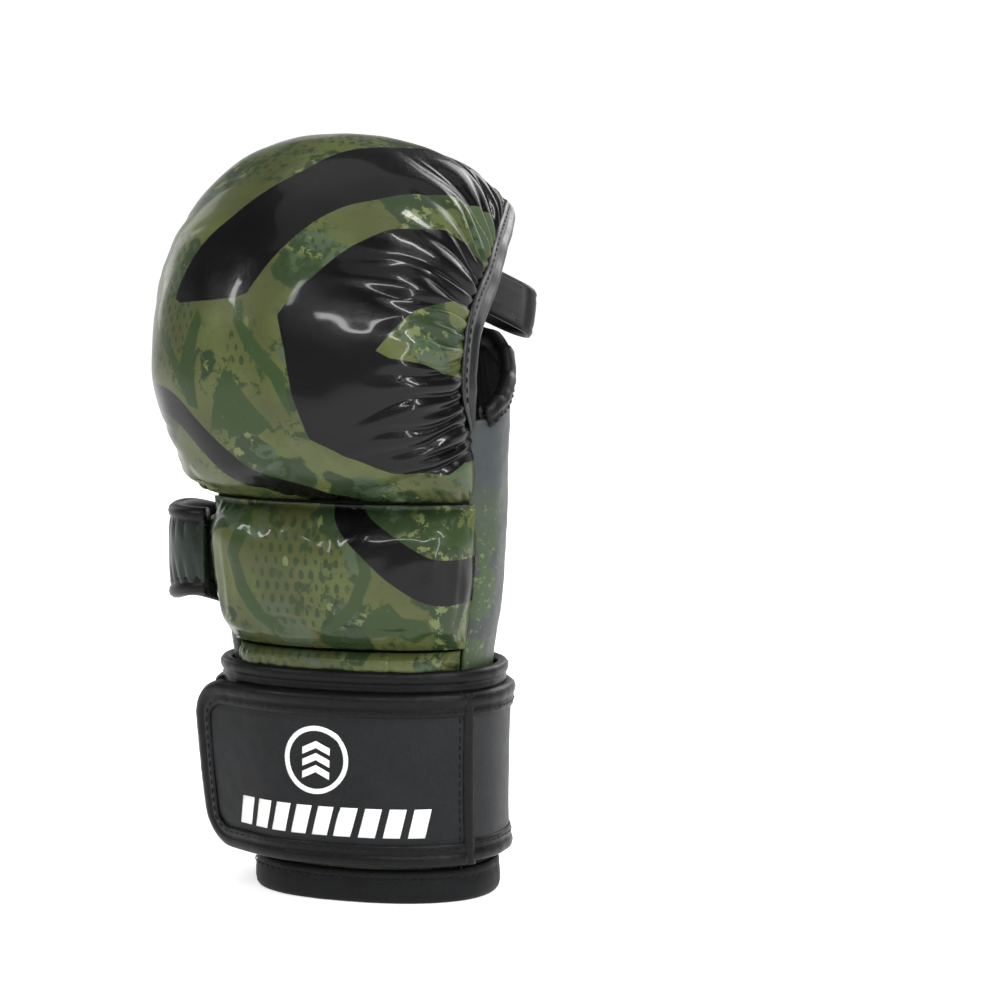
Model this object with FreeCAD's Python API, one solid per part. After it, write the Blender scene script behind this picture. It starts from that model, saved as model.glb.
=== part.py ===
"""Open-palm grappling / sparring glove, right hand, standing on its cuff hem.

Millimetres. +Z runs from the cuff hem to the finger hood, -Y is the back of the hand,
+Y the palm, +X the little-finger side and -X the thumb side. The origin is the centre
of the bounding box's bottom face.
"""
import FreeCAD, Part
import math
import os

V = FreeCAD.Vector

# ------------------------------------------------------------------ driving dimensions
X_SHIFT = 9.17             # moves the modelling frame onto the bounding-box centre
Y_SHIFT = 2.38

LINING_T = 1.2             # textile lining
WRAP_T = 2.2               # first turn of the wrist strap
RING0 = 4.35               # inside of the strap's first turn
STRAP_T = 2.4              # outer turn of the wrist strap
LEATHER_T = 1.5            # synthetic-leather covers
PALM_T = 2.8               # palm leather with its thin foam

HEM_H = 11.5               # rolled hem at the cuff's mouth
WRAP_Z0, WRAP_Z1 = 14.0, 77.4
STRAP_Z0, STRAP_Z1 = 14.0, 72.0
BIND_ROLL = 4.2            # height of the rolled edge binding on the strap
WRIST_CREASE_Z = 84.0
KNUCKLE_CREASE_Z = 134.0
PALM_Z0 = 79.6             # lower end of the hand shell, just above the strap's first turn
THUMB_CUT_Z = 119.0        # lower edge of the thumb opening

LOOP_T = 1.7
LOOP_BASE = (0.0, 215.5)   # (y, z) of the loops' swing axis under the hood
LOOP_TILT = 22.0           # the loops' openings lean this far forward from vertical
LOOP_REACH = 43.0
# name, lower and upper edge along the finger, start along the reach,
# thumb-side leg (x at the hood, at the knee, at the round end), little-finger-side leg
KNEE = 20.0
LOOPS = [("index", -8.5, 8.5, 9.0, (-44.5, -46.0, -50.0), (-27.5, -27.8, -28.5)),
         ("middle", -8.5, 8.5, 3.5, (-26.5, -26.8, -27.5), (-3.0, -3.2, -3.5)),
         ("ring", -8.5, 8.5, 5.6, (-2.0, -2.2, -2.5), (20.5, 20.8, 21.5)),
         ("little", -9.5, 6.8, 11.0, (21.8, 22.0, 23.0), (30.5, 31.5, 51.0))]

# Wrist and hand tube, measured to the outside of the lining:
# z, centre x, centre y, half-widths (little-finger side, thumb side), half-depths (back, palm)
TUBE = [
    (0.0, 4.0, 0.0, 35.0, 36.5, 24.0, 24.0),
    (40.0, 2.0, -0.5, 37.0, 41.0, 25.0, 26.0),
    (80.0, 0.0, -2.5, 41.0, 43.5, 24.5, 28.5),
    (110.0, -1.0, -6.0, 47.0, 46.5, 22.5, 31.5),
    (135.0, -2.0, -8.0, 49.5, 48.5, 21.5, 33.0),
    (163.0, -4.0, -9.0, 52.5, 53.0, 21.5, 35.0),
    (190.0, -5.0, -8.0, 54.0, 54.0, 22.0, 36.0),
    (205.0, -5.0, -7.5, 54.0, 54.0, 22.0, 36.0),
]

# Back-of-hand spine, the pads' base: parameter, base point (y, z), lean of the outward normal (degrees),
# pad thickness, side depths (little-finger side, thumb side), half-widths of the cover (same order), centre x
HOOD = [
    (0.0, -30.2, 134.8, 0.0, 6.0, 13.0, 15.0, 47.5, 48.0, -3.5),
    (0.5, -30.4, 141.0, 1.0, 16.0, 10.0, 15.5, 49.5, 52.5, -4.2),
    (1.0, -30.4, 149.0, 2.0, 23.5, 8.2, 16.0, 50.5, 54.5, -5.0),
    (2.0, -30.2, 163.0, 5.0, 30.0, 6.0, 16.5, 51.5, 57.5, -6.5),
    (3.0, -28.8, 178.0, 14.0, 32.5, 2.5, 20.0, 53.0, 59.5, -8.5),
    (4.0, -25.5, 192.0, 26.0, 32.5, 3.5, 21.0, 54.0, 59.0, -9.5),
    (5.0, -18.5, 206.0, 42.0, 31.5, 9.0, 22.0, 54.7, 59.5, -10.5),
    (6.0, -7.5, 218.5, 60.0, 29.0, 14.0, 23.5, 54.5, 59.0, -11.0),
    (7.0, 6.5, 227.0, 78.0, 26.5, 14.4, 24.0, 53.2, 57.0, -11.0),
    (8.0, 21.0, 231.5, 92.0, 22.0, 12.0, 22.0, 51.5, 54.5, -11.0),
    (9.0, 35.5, 231.0, 104.0, 16.0, 6.5, 17.5, 49.0, 51.0, -11.0),
    (10.0, 48.0, 228.0, 115.0, 9.5, 1.0, 10.0, 45.0, 47.5, -11.0),
]
SIDE_WALL = 6.0            # pad thickness where it meets the rim, measured across

os.makedirs("parts", exist_ok=True)


# ------------------------------------------------------------------ interpolation
def pchip(rows, x):
    """Shape-preserving cubic through the rows, by their first column."""
    xs = [r[0] for r in rows]
    n = len(xs)
    if x <= xs[0]:
        i = 0
    elif x >= xs[-1]:
        i = n - 2
    else:
        i = max(k for k in range(n - 1) if xs[k] <= x)
    h = xs[i + 1] - xs[i]
    t = (x - xs[i]) / h
    out = []

    def slope(c, k):
        if k == 0:
            return (rows[1][c] - rows[0][c]) / (xs[1] - xs[0])
        if k == n - 1:
            return (rows[-1][c] - rows[-2][c]) / (xs[-1] - xs[-2])
        d0 = (rows[k][c] - rows[k - 1][c]) / (xs[k] - xs[k - 1])
        d1 = (rows[k + 1][c] - rows[k][c]) / (xs[k + 1] - xs[k])
        if d0 * d1 <= 0:
            return 0.0
        w0 = 2 * (xs[k + 1] - xs[k]) + (xs[k] - xs[k - 1])
        w1 = (xs[k + 1] - xs[k]) + 2 * (xs[k] - xs[k - 1])
        return (w0 + w1) / (w0 / d0 + w1 / d1)

    for c in range(1, len(rows[0])):
        m0, m1 = slope(c, i) * h, slope(c, i + 1) * h
        p0, p1 = rows[i][c], rows[i + 1][c]
        if t < 0:
            out.append(p0 + m0 * t)
        elif t > 1:
            out.append(p1 + m1 * (t - 1))
        else:
            out.append((2 * t**3 - 3 * t**2 + 1) * p0 + (t**3 - 2 * t**2 + t) * m0
                       + (-2 * t**3 + 3 * t**2) * p1 + (t**3 - t**2) * m1)
    return out


def lerp_table(rows, x):
    if x <= rows[0][0]:
        return rows[0][1]
    for (x0, y0), (x1, y1) in zip(rows, rows[1:]):
        if x <= x1:
            t = (x - x0) / (x1 - x0)
            t = t * t * (3 - 2 * t)
            return y0 + (y1 - y0) * t
    return rows[-1][1]


# ------------------------------------------------------------------ the two base surfaces
def tube(phi, z, d):
    """Point on the wrist and hand tube: phi in degrees from the little-finger side towards the palm,
    d millimetres outside the lining."""
    cx, cy, ar, al, bb, bp = pchip(TUBE, z)
    c, s = math.cos(math.radians(phi)), math.sin(math.radians(phi))
    a = (ar if c >= 0 else al) + d
    b = (bp if s >= 0 else bb) + d
    q = 2.0 / 2.25
    x = cx + a * math.copysign(abs(c) ** q, c)
    y = cy + b * math.copysign(abs(s) ** q, s)
    return V(x + X_SHIFT, y + Y_SHIFT, z)


def hood(theta, v, k=None, off=None, drop=0.0, ahead=0.0):
    """Point on the back pad's arch. theta runs from -90 (thumb side) to 90 (little-finger side).
    k blends from the base (0) to the cover's outside (1); off is a distance outside the base (negative is inside)
    or, with k given, outside that layer. drop carries the edge below the rim, ahead carries the front edge forward."""
    y, z, lean, t, hr, hl, wr, wl, cx = pchip(HOOD, v)
    h = hr if theta >= 0 else hl
    k = 0.0 if k is None else k
    off = 0.0 if off is None else off
    th = math.radians(theta)
    side = wr if theta >= 0 else wl
    a = side - SIDE_WALL + k * SIDE_WALL + off
    n0 = k * t + off
    q = 2.0 / 2.3
    s, c = math.sin(th), max(0.0, math.cos(th))
    x = cx + a * math.copysign(abs(s) ** q, s)
    n = -h + (n0 + h) * c ** q
    n -= drop
    ln = math.radians(lean)
    ny, nz = -math.cos(ln), math.sin(ln)
    ty, tz = math.sin(ln), math.cos(ln)
    return V(x + X_SHIFT, y + n * ny + ahead * ty + Y_SHIFT, z + n * nz + ahead * tz)


# ------------------------------------------------------------------ solid builders
def grid_face(g):
    s = Part.BSplineSurface()
    s.interpolate(g)
    return s


def slab(outer, inner, name):
    """A closed solid between two point grids of the same size."""
    so, si = grid_face(outer), grid_face(inner)
    faces = [so.toShape(), si.toShape()]
    uo0, uo1, vo0, vo1 = so.bounds()
    ui0, ui1, vi0, vi1 = si.bounds()
    pairs = [(so.uIso(uo0), si.uIso(ui0)), (so.uIso(uo1), si.uIso(ui1)),
             (so.vIso(vo0), si.vIso(vi0)), (so.vIso(vo1), si.vIso(vi1))]
    for a, b in pairs:
        faces.append(Part.makeRuledSurface(a.toShape(), b.toShape(), 1))
    sh = Part.Shell(faces)
    sh.sewShape()
    if sh.ShapeType != "Shell":
        sh = sh.Shells[0]
    so = Part.makeSolid(sh)
    if so.Volume < 0:
        so.reverse()
    if not so.isValid():
        so.fix(0.01, 0.01, 0.01)
    if not so.isValid() or so.Volume <= 0:
        print("BAD SLAB", name, so.isValid(), so.Volume)
    return so


def span(a, b, n):
    return [a + (b - a) * i / (n - 1.0) for i in range(n)]


def tube_slab(name, p0, p1, z0, z1, d0, d1, np_=9, nz=5):
    """Slab on the tube. p0, p1, z0, z1, d0, d1 are numbers, or functions: z of phi, phi of z, d of (phi, z)."""
    fz0 = z0 if callable(z0) else (lambda p: z0)
    fz1 = z1 if callable(z1) else (lambda p: z1)
    fd0 = d0 if callable(d0) else (lambda p, z: d0)
    fd1 = d1 if callable(d1) else (lambda p, z: d1)
    go, gi = [], []
    for p in span(p0, p1, np_):
        ro, ri = [], []
        for t in span(0.0, 1.0, nz):
            z = fz0(p) + (fz1(p) - fz0(p)) * t
            ro.append(tube(p, z, fd1(p, z)))
            ri.append(tube(p, z, fd0(p, z)))
        go.append(ro)
        gi.append(ri)
    return slab(go, gi, name)


def shell_panel(name, fp0, fp1, z0, fz1, d0, d1, np_=11, nz=9):
    """Panel on the tube between two edges phi(z) and a top z(phi)."""
    go, gi = [], []
    for t in span(0.0, 1.0, np_):
        ro, ri = [], []
        for w in span(0.0, 1.0, nz):
            z = z0 + (fz1(fp1(z0)) - z0) * w
            for _ in range(6):
                p = fp0(z) + (fp1(z) - fp0(z)) * t
                z = z0 + (fz1(p) - z0) * w
            ro.append(tube(p, z, d1))
            ri.append(tube(p, z, d0))
        go.append(ro)
        gi.append(ri)
    return slab(go, gi, name)


def ring(z0, z1, d0, d1, steps=4):
    """Closed ring on the tube, by lofts."""
    def body(d, za, zb, m):
        ws = []
        for z in span(za, zb, m):
            pts = [tube(360.0 * i / 40, z, d) for i in range(40)]
            c = Part.BSplineCurve()
            c.interpolate(pts, PeriodicFlag=True)
            ws.append(Part.Wire(c.toShape()))
        return Part.makeLoft(ws, True, False)
    out = body(d1, z0, z1, steps)
    inn = body(d0, z0 - 1.0, z1 + 1.0, steps)
    return out.cut(inn)


def hood_slab(name, th0, th1, v0, v1, lo, hi, nt=15, nv=13):
    """Slab on the back pad's arch; lo and hi are keyword sets for hood()."""
    go, gi = [], []
    for th in span(th0, th1, nt):
        go.append([hood(th, v, **hi) for v in span(v0, v1, nv)])
        gi.append([hood(th, v, **lo) for v in span(v0, v1, nv)])
    return slab(go, gi, name)


SUMMARY = []


def save(name, *solids):
    shape = solids[0] if len(solids) == 1 else Part.makeCompound(list(solids))
    shape.exportStep(os.path.join("parts", name + ".step"))
    SUMMARY.append((name, sum(s.Volume for s in solids), shape.isValid(), len(shape.Solids)))
    return shape


# ------------------------------------------------------------------ cuff (root)
BACK_P0, BACK_P1 = -152.0, -28.0           # back arc that the wrist pad covers


def bump(t):
    """Crown of a sewn pad: 0 at both ends, 1 along the middle."""
    t = min(1.0, max(0.0, t))
    return (1 - (2 * t - 1) ** 4)


def wrist_pad_d(p, z):
    u = (p - BACK_P0) / (BACK_P1 - BACK_P0)
    edge = min(1.0, bump(u) * 1.15)
    top = 1.0 if z < 79.0 else max(0.0, 1 - ((z - 79.0) / 3.0) ** 2 * 0.45)
    swell = 4.0 if z < 79.0 else 4.0 + 1.6 * math.sin(min(1.0, (z - 79.0) / 2.0) * math.pi)
    return 1.4 + (swell - 1.4) * edge * top


save("wrist_lining", ring(2.6, 118.0, -LINING_T, -0.1, 7))
save("cuff_palm_shell", tube_slab("cuff_palm_shell", -27.0, 207.0, 2.9, 73.0, 0.15, 4.0, 25, 6))
save("wrist_pad_foam", tube_slab("wrist_pad_foam", BACK_P0, BACK_P1, 2.9, 81.0, 0.15,
                                  lambda p, z: 2.5, 15, 7))
save("wrist_pad_cover", tube_slab("wrist_pad_cover", BACK_P0, BACK_P1, 2.9, 82.0, 2.75, 4.0, 15, 8))
hem = ring(0.0, HEM_H, 4.3, 6.2, 3).fuse(ring(0.0, 2.3, -LINING_T, 4.4, 2))
hem = hem.removeSplitter()
save("cuff_hem_binding", hem.Solids[0])

# first turn of the strap and its rolled top binding
save("strap_first_turn", ring(WRAP_Z0, WRAP_Z1 - 2.6, RING0, RING0 + WRAP_T, 4))
save("first_turn_binding", ring(WRAP_Z1 - 2.4, WRAP_Z1 + 1.7, RING0, RING0 + WRAP_T + 1.0, 3))

# outer turn: a fixed part round the palm, and a flap over the back that peels open
S0 = RING0 + WRAP_T + 0.35                   # inside of the outer turn
S1 = S0 + STRAP_T
SEAM_P = -33.0                              # little-finger seam, where the flap starts
FIX_END_P = 200.0                           # end of the fixed part, under the free tip
PALM_SEAM_P = 30.0                          # seam between the side panel and the palm panel
TIP_X = -29.0                               # upright crease between flap and peeling tip
TIP_L = 30.0                                # free tip, which stands off the thumb side of the cuff


def strap_z0(p):
    return STRAP_Z0 + BIND_ROLL


def strap_z1(p):
    return STRAP_Z1 - BIND_ROLL


save("strap_side_panel", tube_slab("side", SEAM_P + 0.6, PALM_SEAM_P - 0.4, strap_z0, strap_z1, S0, S1, 9, 4))
save("strap_palm_panel", tube_slab("palmp", PALM_SEAM_P + 0.4, FIX_END_P, strap_z0, strap_z1, S0, S1, 17, 4))
for nm, za, zb in (("strap_fixed_top_binding", STRAP_Z1 - BIND_ROLL + 0.25, STRAP_Z1),
                   ("strap_fixed_lower_binding", STRAP_Z0, STRAP_Z0 + BIND_ROLL - 0.25)):
    save(nm, tube_slab(nm, SEAM_P + 0.6, FIX_END_P, za, zb, S0, S1 + 0.9, 17, 3))
save("loop_fastener_patch", tube_slab("loopf", -152.0, -84.0, 30.0, 60.0, RING0 + WRAP_T + 0.08, RING0 + WRAP_T + 0.26, 17, 4))

# the flap: panel, edge binding, hook patch and printed badge; split at TIP_P
F0, F1 = S0 + 0.35, S0 + 0.35 + STRAP_T


def corner(t):
    """Loss of height towards the tip's rounded end."""
    u = max(0.0, (t - (TIP_L - 15.0)) / 15.0)
    return 13.0 * (1.0 - math.sqrt(max(0.0, 1.0 - min(1.0, u) ** 2 * 0.97)))


FZ0, FZ1 = STRAP_Z0 + BIND_ROLL - 1.0, STRAP_Z1 - BIND_ROLL


def crease_p(z):
    """Angle of the crease at a height."""
    a, b = -100.0, -150.0
    for _ in range(30):
        m = (a + b) / 2.0
        if tube(m, z, F1).x > TIP_X + X_SHIFT:
            a = m
        else:
            b = m
    return (a + b) / 2.0


def tip(t, z, d):
    """Point on the free tip: t millimetres beyond the crease, running straight on from the flap."""
    p = crease_p(z)
    o = tube(p, z, d)
    q = tube(p - 0.2, z, F1) - tube(p + 0.2, z, F1)
    q.z = 0.0
    q.normalize()
    return o + q * t + V(0.0, 0.0030 * t * t, 0.0)


def tip_slab(name, t0, t1, z0, z1, d0, d1, nt=11, nz=4):
    go, gi = [], []
    for t in span(t0, t1, nt):
        a = z0(t) if callable(z0) else z0
        b = z1(t) if callable(z1) else z1
        go.append([tip(t, z, d1) for z in span(a, b, nz)])
        gi.append([tip(t, z, d0) for z in span(a, b, nz)])
    return slab(go, gi, name)


def flap_slab(name, z0, z1, d0, d1):
    return shell_panel(name, lambda z: crease_p(z) + 0.5, lambda z: SEAM_P - 0.6, z0, lambda p: z1, d0, d1, 17, 5)


save("flap_panel", flap_slab("flap", FZ0, FZ1, F0, F1))
save("flap_top_binding", flap_slab("flapt", FZ1 + 0.4, FZ1 + BIND_ROLL, F0, F1 + 0.9))
save("flap_lower_binding", flap_slab("flapb", FZ0 - BIND_ROLL, FZ0 - 0.4, F0, F1 + 0.9))
save("flap_badge", tube_slab("badge", -117.0, -88.0, 35.0, 58.0, F1 + 0.12, F1 + 0.6, 9, 4))
save("tip_panel", tip_slab("tip", 0.4, TIP_L - 4.4, lambda t: FZ0 + corner(t), lambda t: FZ1 - corner(t), F0, F1))
save("tip_top_binding", tip_slab("tipt", 0.4, TIP_L - 4.4, lambda t: FZ1 - corner(t) + 0.4,
                                  lambda t: FZ1 - corner(t) + BIND_ROLL, F0, F1 + 0.9))
save("tip_lower_binding", tip_slab("tipb", 0.4, TIP_L - 4.4, lambda t: FZ0 + corner(t) - BIND_ROLL,
                                    lambda t: FZ0 + corner(t) - 0.4, F0, F1 + 0.9))
save("tip_end_binding", tip_slab("tipe", TIP_L - 4.1, TIP_L, lambda t: FZ0 + corner(t) - BIND_ROLL + 2.0,
                                  lambda t: FZ1 - corner(t) + BIND_ROLL - 2.0, F0, F1 + 0.9, 4, 4))
save("hook_fastener_patch", tip_slab("hook", 2.0, 22.0, 28.0, 60.0, F0 - 0.26, F0 - 0.08, 7, 4))


# ------------------------------------------------------------------ hand shell
def back_pad_d(p, z):
    """Crowned pad over the back of the hand between the two creases."""
    u = (p - BACK_P0) / (BACK_P1 - BACK_P0)
    w = (z - 86.2) / (132.6 - 86.2)
    return 3.2 + 10.6 * bump(w) * min(1.0, bump(u) * 1.1) * (0.85 + 0.15 * bump(u))


BP0, BP1 = -151.0, -29.0
save("back_pad_foam", tube_slab("bpf", BP0 + 1, BP1 - 1, 87.2, 131.6, 0.25,
                                 lambda p, z: back_pad_d(p, z) - 2.0, 17, 9))
save("back_pad_cover", tube_slab("bpc", BP0, BP1, 86.2, 132.6,
                                  lambda p, z: back_pad_d(p, z) - 1.5, back_pad_d, 17, 11))


PALM_SIDE_P = 24.8         # seam between the side gusset and the palm
THUMB_EDGE_P = 95.0        # free edge of the palm at the thumb opening


def palm_top(p):
    return lerp_table([(-40.0, 160.5), (-22.0, 162.5), (-6.0, 166.0), (12.0, 172.5), (27.0, 181.0), (42.0, 185.5),
                       (58.0, 187.0), (100.0, 187.0)], p)


def thumb_edge(z):
    """Free edge of the palm panel: upright, with a round lower corner."""
    u = max(0.0, (146.0 - z) / (146.0 - THUMB_CUT_Z))
    return THUMB_EDGE_P + 24.0 * u ** 2.3


def gusset_p0(z):
    return lerp_table([(79.0, -25.5), (124.0, -25.5), (138.0, -19.0), (170.0, -19.0)], z)


save("side_gusset", shell_panel("gusset", gusset_p0, lambda z: PALM_SIDE_P - 0.5, PALM_Z0,
                                 lambda p: palm_top(p), 0.6, PALM_T, 11, 11))
save("palm_heel_panel", tube_slab("heel", PALM_SIDE_P, 207.0, PALM_Z0, THUMB_CUT_Z - 0.3, 0.35, PALM_T, 25, 6))
save("palm_panel", shell_panel("palm", lambda z: PALM_SIDE_P, thumb_edge, THUMB_CUT_Z, palm_top, 0.35, PALM_T, 13, 11))
# grip patch: two foam-filled pillows on the palm
PG = PALM_T + 0.3


def pillow(u0, u1, w0, w1, t):
    def f(p, z):
        return PG + 0.8 + t * bump((p - u0) / (u1 - u0)) * bump((z - w0) / (w1 - w0))
    return f


save("grip_patch_upper", tube_slab("gpu", 37.0, 77.0, 159.5, 182.0, PG, pillow(37, 77, 159.5, 182, 3.0), 11, 9))
save("grip_patch_lower", tube_slab("gpl", 37.0, 77.0, 124.0, 158.5, PG, pillow(37, 77, 124, 158.5, 3.0), 11, 9))


def path_slab(name, pts, half, d0, d1):
    """Binding along a path of (phi, z) on the tube; half is its half width in the surface."""
    go, gi = [], []
    m = len(pts)
    for i, (p, z) in enumerate(pts):
        a, b = pts[max(0, i - 1)], pts[min(m - 1, i + 1)]
        mm_per_deg = max(0.2, (tube(p + 0.5, z, 0) - tube(p - 0.5, z, 0)).Length)
        du, dz = (b[0] - a[0]) * mm_per_deg, b[1] - a[1]
        ln = math.hypot(du, dz)
        nx, nz = -dz / ln / mm_per_deg, du / ln
        go.append([tube(p + nx * h, z + nz * h, d1) for h in span(-half, half, 4)])
        gi.append([tube(p + nx * h, z + nz * h, d0) for h in span(-half, half, 4)])
    return slab(go, gi, name)


# thumb-opening binding: one strip along the heel's top, round the corner and up the palm's free edge
tob = [(p, THUMB_CUT_Z + 2.4) for p in (205.0, 190.0, 175.0, 160.0, 147.0, 136.0)]
tob += [(129.0, 121.6), (122.0, 122.8), (115.5, 126.0), (109.5, 130.5), (104.5, 135.5), (101.0, 141.0), (99.0, 147.0)]
tob += [(98.2, z) for z in (154.0, 162.0, 171.0, 179.0, 186.5)]
save("thumb_opening_binding", path_slab("tob", tob, 2.0, -0.6, PALM_T + 0.9))
ptb_p = span(95.5, -18.0, 18)
save("palm_top_binding", slab([[tube(p, palm_top(p) + 0.7 + h, PALM_T + 0.9) for h in span(0.0, 3.9, 4)] for p in ptb_p],
                               [[tube(p, palm_top(p) + 0.7 + h, -0.6) for h in span(0.0, 3.9, 4)] for p in ptb_p], "ptb"))

# ------------------------------------------------------------------ thumb loop
TL_C = (-47.5, 2.0)         # centre of the loop's back edge on the hand shell, (x, y)
TL_A, TL_B = 19.5, 20.5     # how far it stands out, and its half-width
TL_T = 2.2


def thumb(a, w, d, ext=0.0):
    """Point on the thumb loop: a in degrees, -90 at the back-pad end, 0 outermost, 90 at the palm end;
    w from 0 (lower edge) to 1 (upper edge); d millimetres outside its inner face."""
    r = math.radians(a)
    x = TL_C[0] - (TL_A + d) * max(0.0, math.cos(r)) ** 0.85
    y = TL_C[1] + (TL_B + d) * math.copysign(abs(math.sin(r)) ** 0.9, math.sin(r))
    zl = lerp_table([(-90.0, 101.0), (0.0, 99.0), (90.0, 93.0)], a)
    zu = lerp_table([(-90.0, 129.5), (0.0, 132.0), (90.0, 125.0)], a)
    z = zl + (zu - zl) * w
    return V(x + X_SHIFT, y + Y_SHIFT, z)


def thumb_slab(name, a0, a1, w0, w1, d0, d1, na=13, nw=4):
    go, gi = [], []
    for a in span(a0, a1, na):
        go.append([thumb(a, w, d1) for w in span(w0, w1, nw)])
        gi.append([thumb(a, w, d0) for w in span(w0, w1, nw)])
    return slab(go, gi, name)


TA0, TA1 = -76.0, 82.0
save("thumb_loop_band", thumb_slab("tlb", TA0, TA1, 0.17, 0.83, 1.0, 1.0 + TL_T))
save("thumb_loop_lining", thumb_slab("tll", TA0, TA1, 0.17, 0.83, 0.0, 0.9))
save("thumb_loop_upper_binding", thumb_slab("tlu", TA0, TA1, 0.84, 1.0, 0.0, 1.0 + TL_T + 0.5))
save("thumb_loop_lower_binding", thumb_slab("tlo", TA0, TA1, 0.0, 0.16, 0.0, 1.0 + TL_T + 0.5))

# ------------------------------------------------------------------ knuckle hood
save("hood_lining", hood_slab("hl", -89.0, 89.0, 0.0, 9.9, dict(off=-2.1), dict(off=-1.0), 19, 17))
save("hood_inner_foam", hood_slab("hif", -88.5, 88.5, 0.15, 9.8, dict(k=0.0, off=0.0), dict(k=0.40), 19, 17))
save("hood_outer_foam", hood_slab("hof", -88.5, 88.5, 0.15, 9.8, dict(k=0.46), dict(k=1.0, off=-2.0), 19, 17))
save("hood_cover", hood_slab("hc", -89.5, 89.5, 0.0, 9.95, dict(k=1.0, off=-1.5), dict(k=1.0, off=0.0), 19, 17))

# rolled rim: little-finger side, front and thumb side
RB = 3.8


def rim_side(name, sgn, v0, v1):
    go, gi = [], []
    for v in span(v0, v1, 23):
        ro, ri = [], []
        for dd in span(1.1, RB, 4):
            ro.append(hood(sgn * 90.0, v, k=1.0, off=0.6, drop=dd))
            ri.append(hood(sgn * 90.0, v, k=0.0, off=-1.6, drop=dd))
        go.append(ro)
        gi.append(ri)
    return slab(go, gi, name)


def rim_front():
    go, gi = [], []
    for th in span(-88.0, 88.0, 19):
        ro, ri = [], []
        for dd in span(0.7, RB + 0.6, 4):
            ro.append(hood(th, 10.0, k=1.0, off=0.6, ahead=dd))
            ri.append(hood(th, 10.0, k=0.0, off=-1.4, ahead=dd))
        go.append(ro)
        gi.append(ri)
    return slab(go, gi, "rim_front")


save("hood_rim_little_side", rim_side("rl", 1, 2.0, 9.85))
save("hood_rim_thumb_side", rim_side("rt", -1, 0.7, 9.85))
save("hood_rim_front", rim_front())
# webbing tape inside the hood that the finger loops are sewn to
save("loop_anchor_tape", hood_slab("lat", -64.0, 60.0, 5.55, 6.35, dict(off=-3.7), dict(off=-2.5), 17, 4))


# ------------------------------------------------------------------ finger loops
def finger_loop(f0, f1, g0, left, right):
    """A U-shaped band: two legs from the hood's tape and a round end, leaning forward."""
    tl = math.radians(LOOP_TILT)
    gy, gz = math.cos(tl), -math.sin(tl)        # away from the hood
    fy, fz = math.sin(tl), math.cos(tl)         # along the finger
    y0, z0 = LOOP_BASE
    r = (right[2] - left[2]) / 2.0
    g1 = LOOP_REACH - r

    def at(x, g, f):
        return V(x + X_SHIFT, y0 + g * gy + f * fy + Y_SHIFT, z0 + g * gz + f * fz)

    def outline(t):
        xc = (left[2] + right[2]) / 2.0
        return (at(left[0] + t, g0, f0), at(left[1] + t, KNEE, f0), at(left[2] + t, g1, f0), at(xc, LOOP_REACH - t, f0),
                at(right[2] - t, g1, f0), at(right[1] - t, KNEE, f0), at(right[0] - t, g0, f0))

    o, i = outline(0.0), outline(LOOP_T)
    w = Part.Wire([Part.makeLine(o[0], o[1]), Part.makeLine(o[1], o[2]), Part.Arc(o[2], o[3], o[4]).toShape(),
                   Part.makeLine(o[4], o[5]), Part.makeLine(o[5], o[6]), Part.makeLine(o[6], i[6]),
                   Part.makeLine(i[6], i[5]), Part.makeLine(i[5], i[4]), Part.Arc(i[4], i[3], i[2]).toShape(),
                   Part.makeLine(i[2], i[1]), Part.makeLine(i[1], i[0]), Part.makeLine(i[0], o[0])])
    return Part.Face(w).extrude(V(0, fy * (f1 - f0), fz * (f1 - f0)))


for nm, f0, f1, g0, left, right in LOOPS:
    save("finger_loop_" + nm, finger_loop(f0, f1, g0, left, right))

for s in SUMMARY:
    print("%-28s %9.1f mm3 valid=%s solids=%d" % s)
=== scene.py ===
import math

import bpy
import numpy as np
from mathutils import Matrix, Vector


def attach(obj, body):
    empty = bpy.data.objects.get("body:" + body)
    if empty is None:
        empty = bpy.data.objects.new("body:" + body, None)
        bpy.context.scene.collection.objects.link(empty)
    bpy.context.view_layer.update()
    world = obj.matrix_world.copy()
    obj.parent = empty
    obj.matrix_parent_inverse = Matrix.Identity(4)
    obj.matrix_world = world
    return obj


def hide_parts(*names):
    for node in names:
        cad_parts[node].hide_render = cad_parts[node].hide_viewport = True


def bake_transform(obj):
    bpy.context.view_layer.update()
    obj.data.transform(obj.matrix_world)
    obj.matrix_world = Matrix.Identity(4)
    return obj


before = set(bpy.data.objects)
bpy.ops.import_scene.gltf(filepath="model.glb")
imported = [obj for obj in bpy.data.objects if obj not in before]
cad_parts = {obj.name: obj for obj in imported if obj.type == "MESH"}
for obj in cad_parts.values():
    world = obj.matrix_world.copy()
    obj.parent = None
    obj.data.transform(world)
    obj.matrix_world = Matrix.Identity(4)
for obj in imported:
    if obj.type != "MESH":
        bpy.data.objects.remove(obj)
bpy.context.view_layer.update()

RNG = np.random.default_rng(11)
MM = 0.001

# ------------------------------------------------------------------ the glove's base surfaces, in millimetres
X_SHIFT, Y_SHIFT = 9.17, 2.38
LINING_T, WRAP_T, STRAP_T, PALM_T, RING0 = 1.2, 2.2, 2.4, 2.8, 4.35
STRAP_Z0, STRAP_Z1, BIND_ROLL = 14.0, 72.0, 4.2
WRAP_Z0, WRAP_Z1 = 14.0, 77.4
S0 = RING0 + WRAP_T + 0.35
S1 = S0 + STRAP_T
F0 = S0 + 0.35
F1 = F0 + STRAP_T
SEAM_P, PALM_SEAM_P, FIX_END_P = -33.0, 30.0, 200.0
TIP_X, TIP_L = -29.0, 30.0
PALM_Z0, THUMB_CUT_Z, THUMB_EDGE_P = 79.6, 119.0, 95.0
BACK_P0, BACK_P1 = -152.0, -28.0
SIDE_WALL = 6.0

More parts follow.
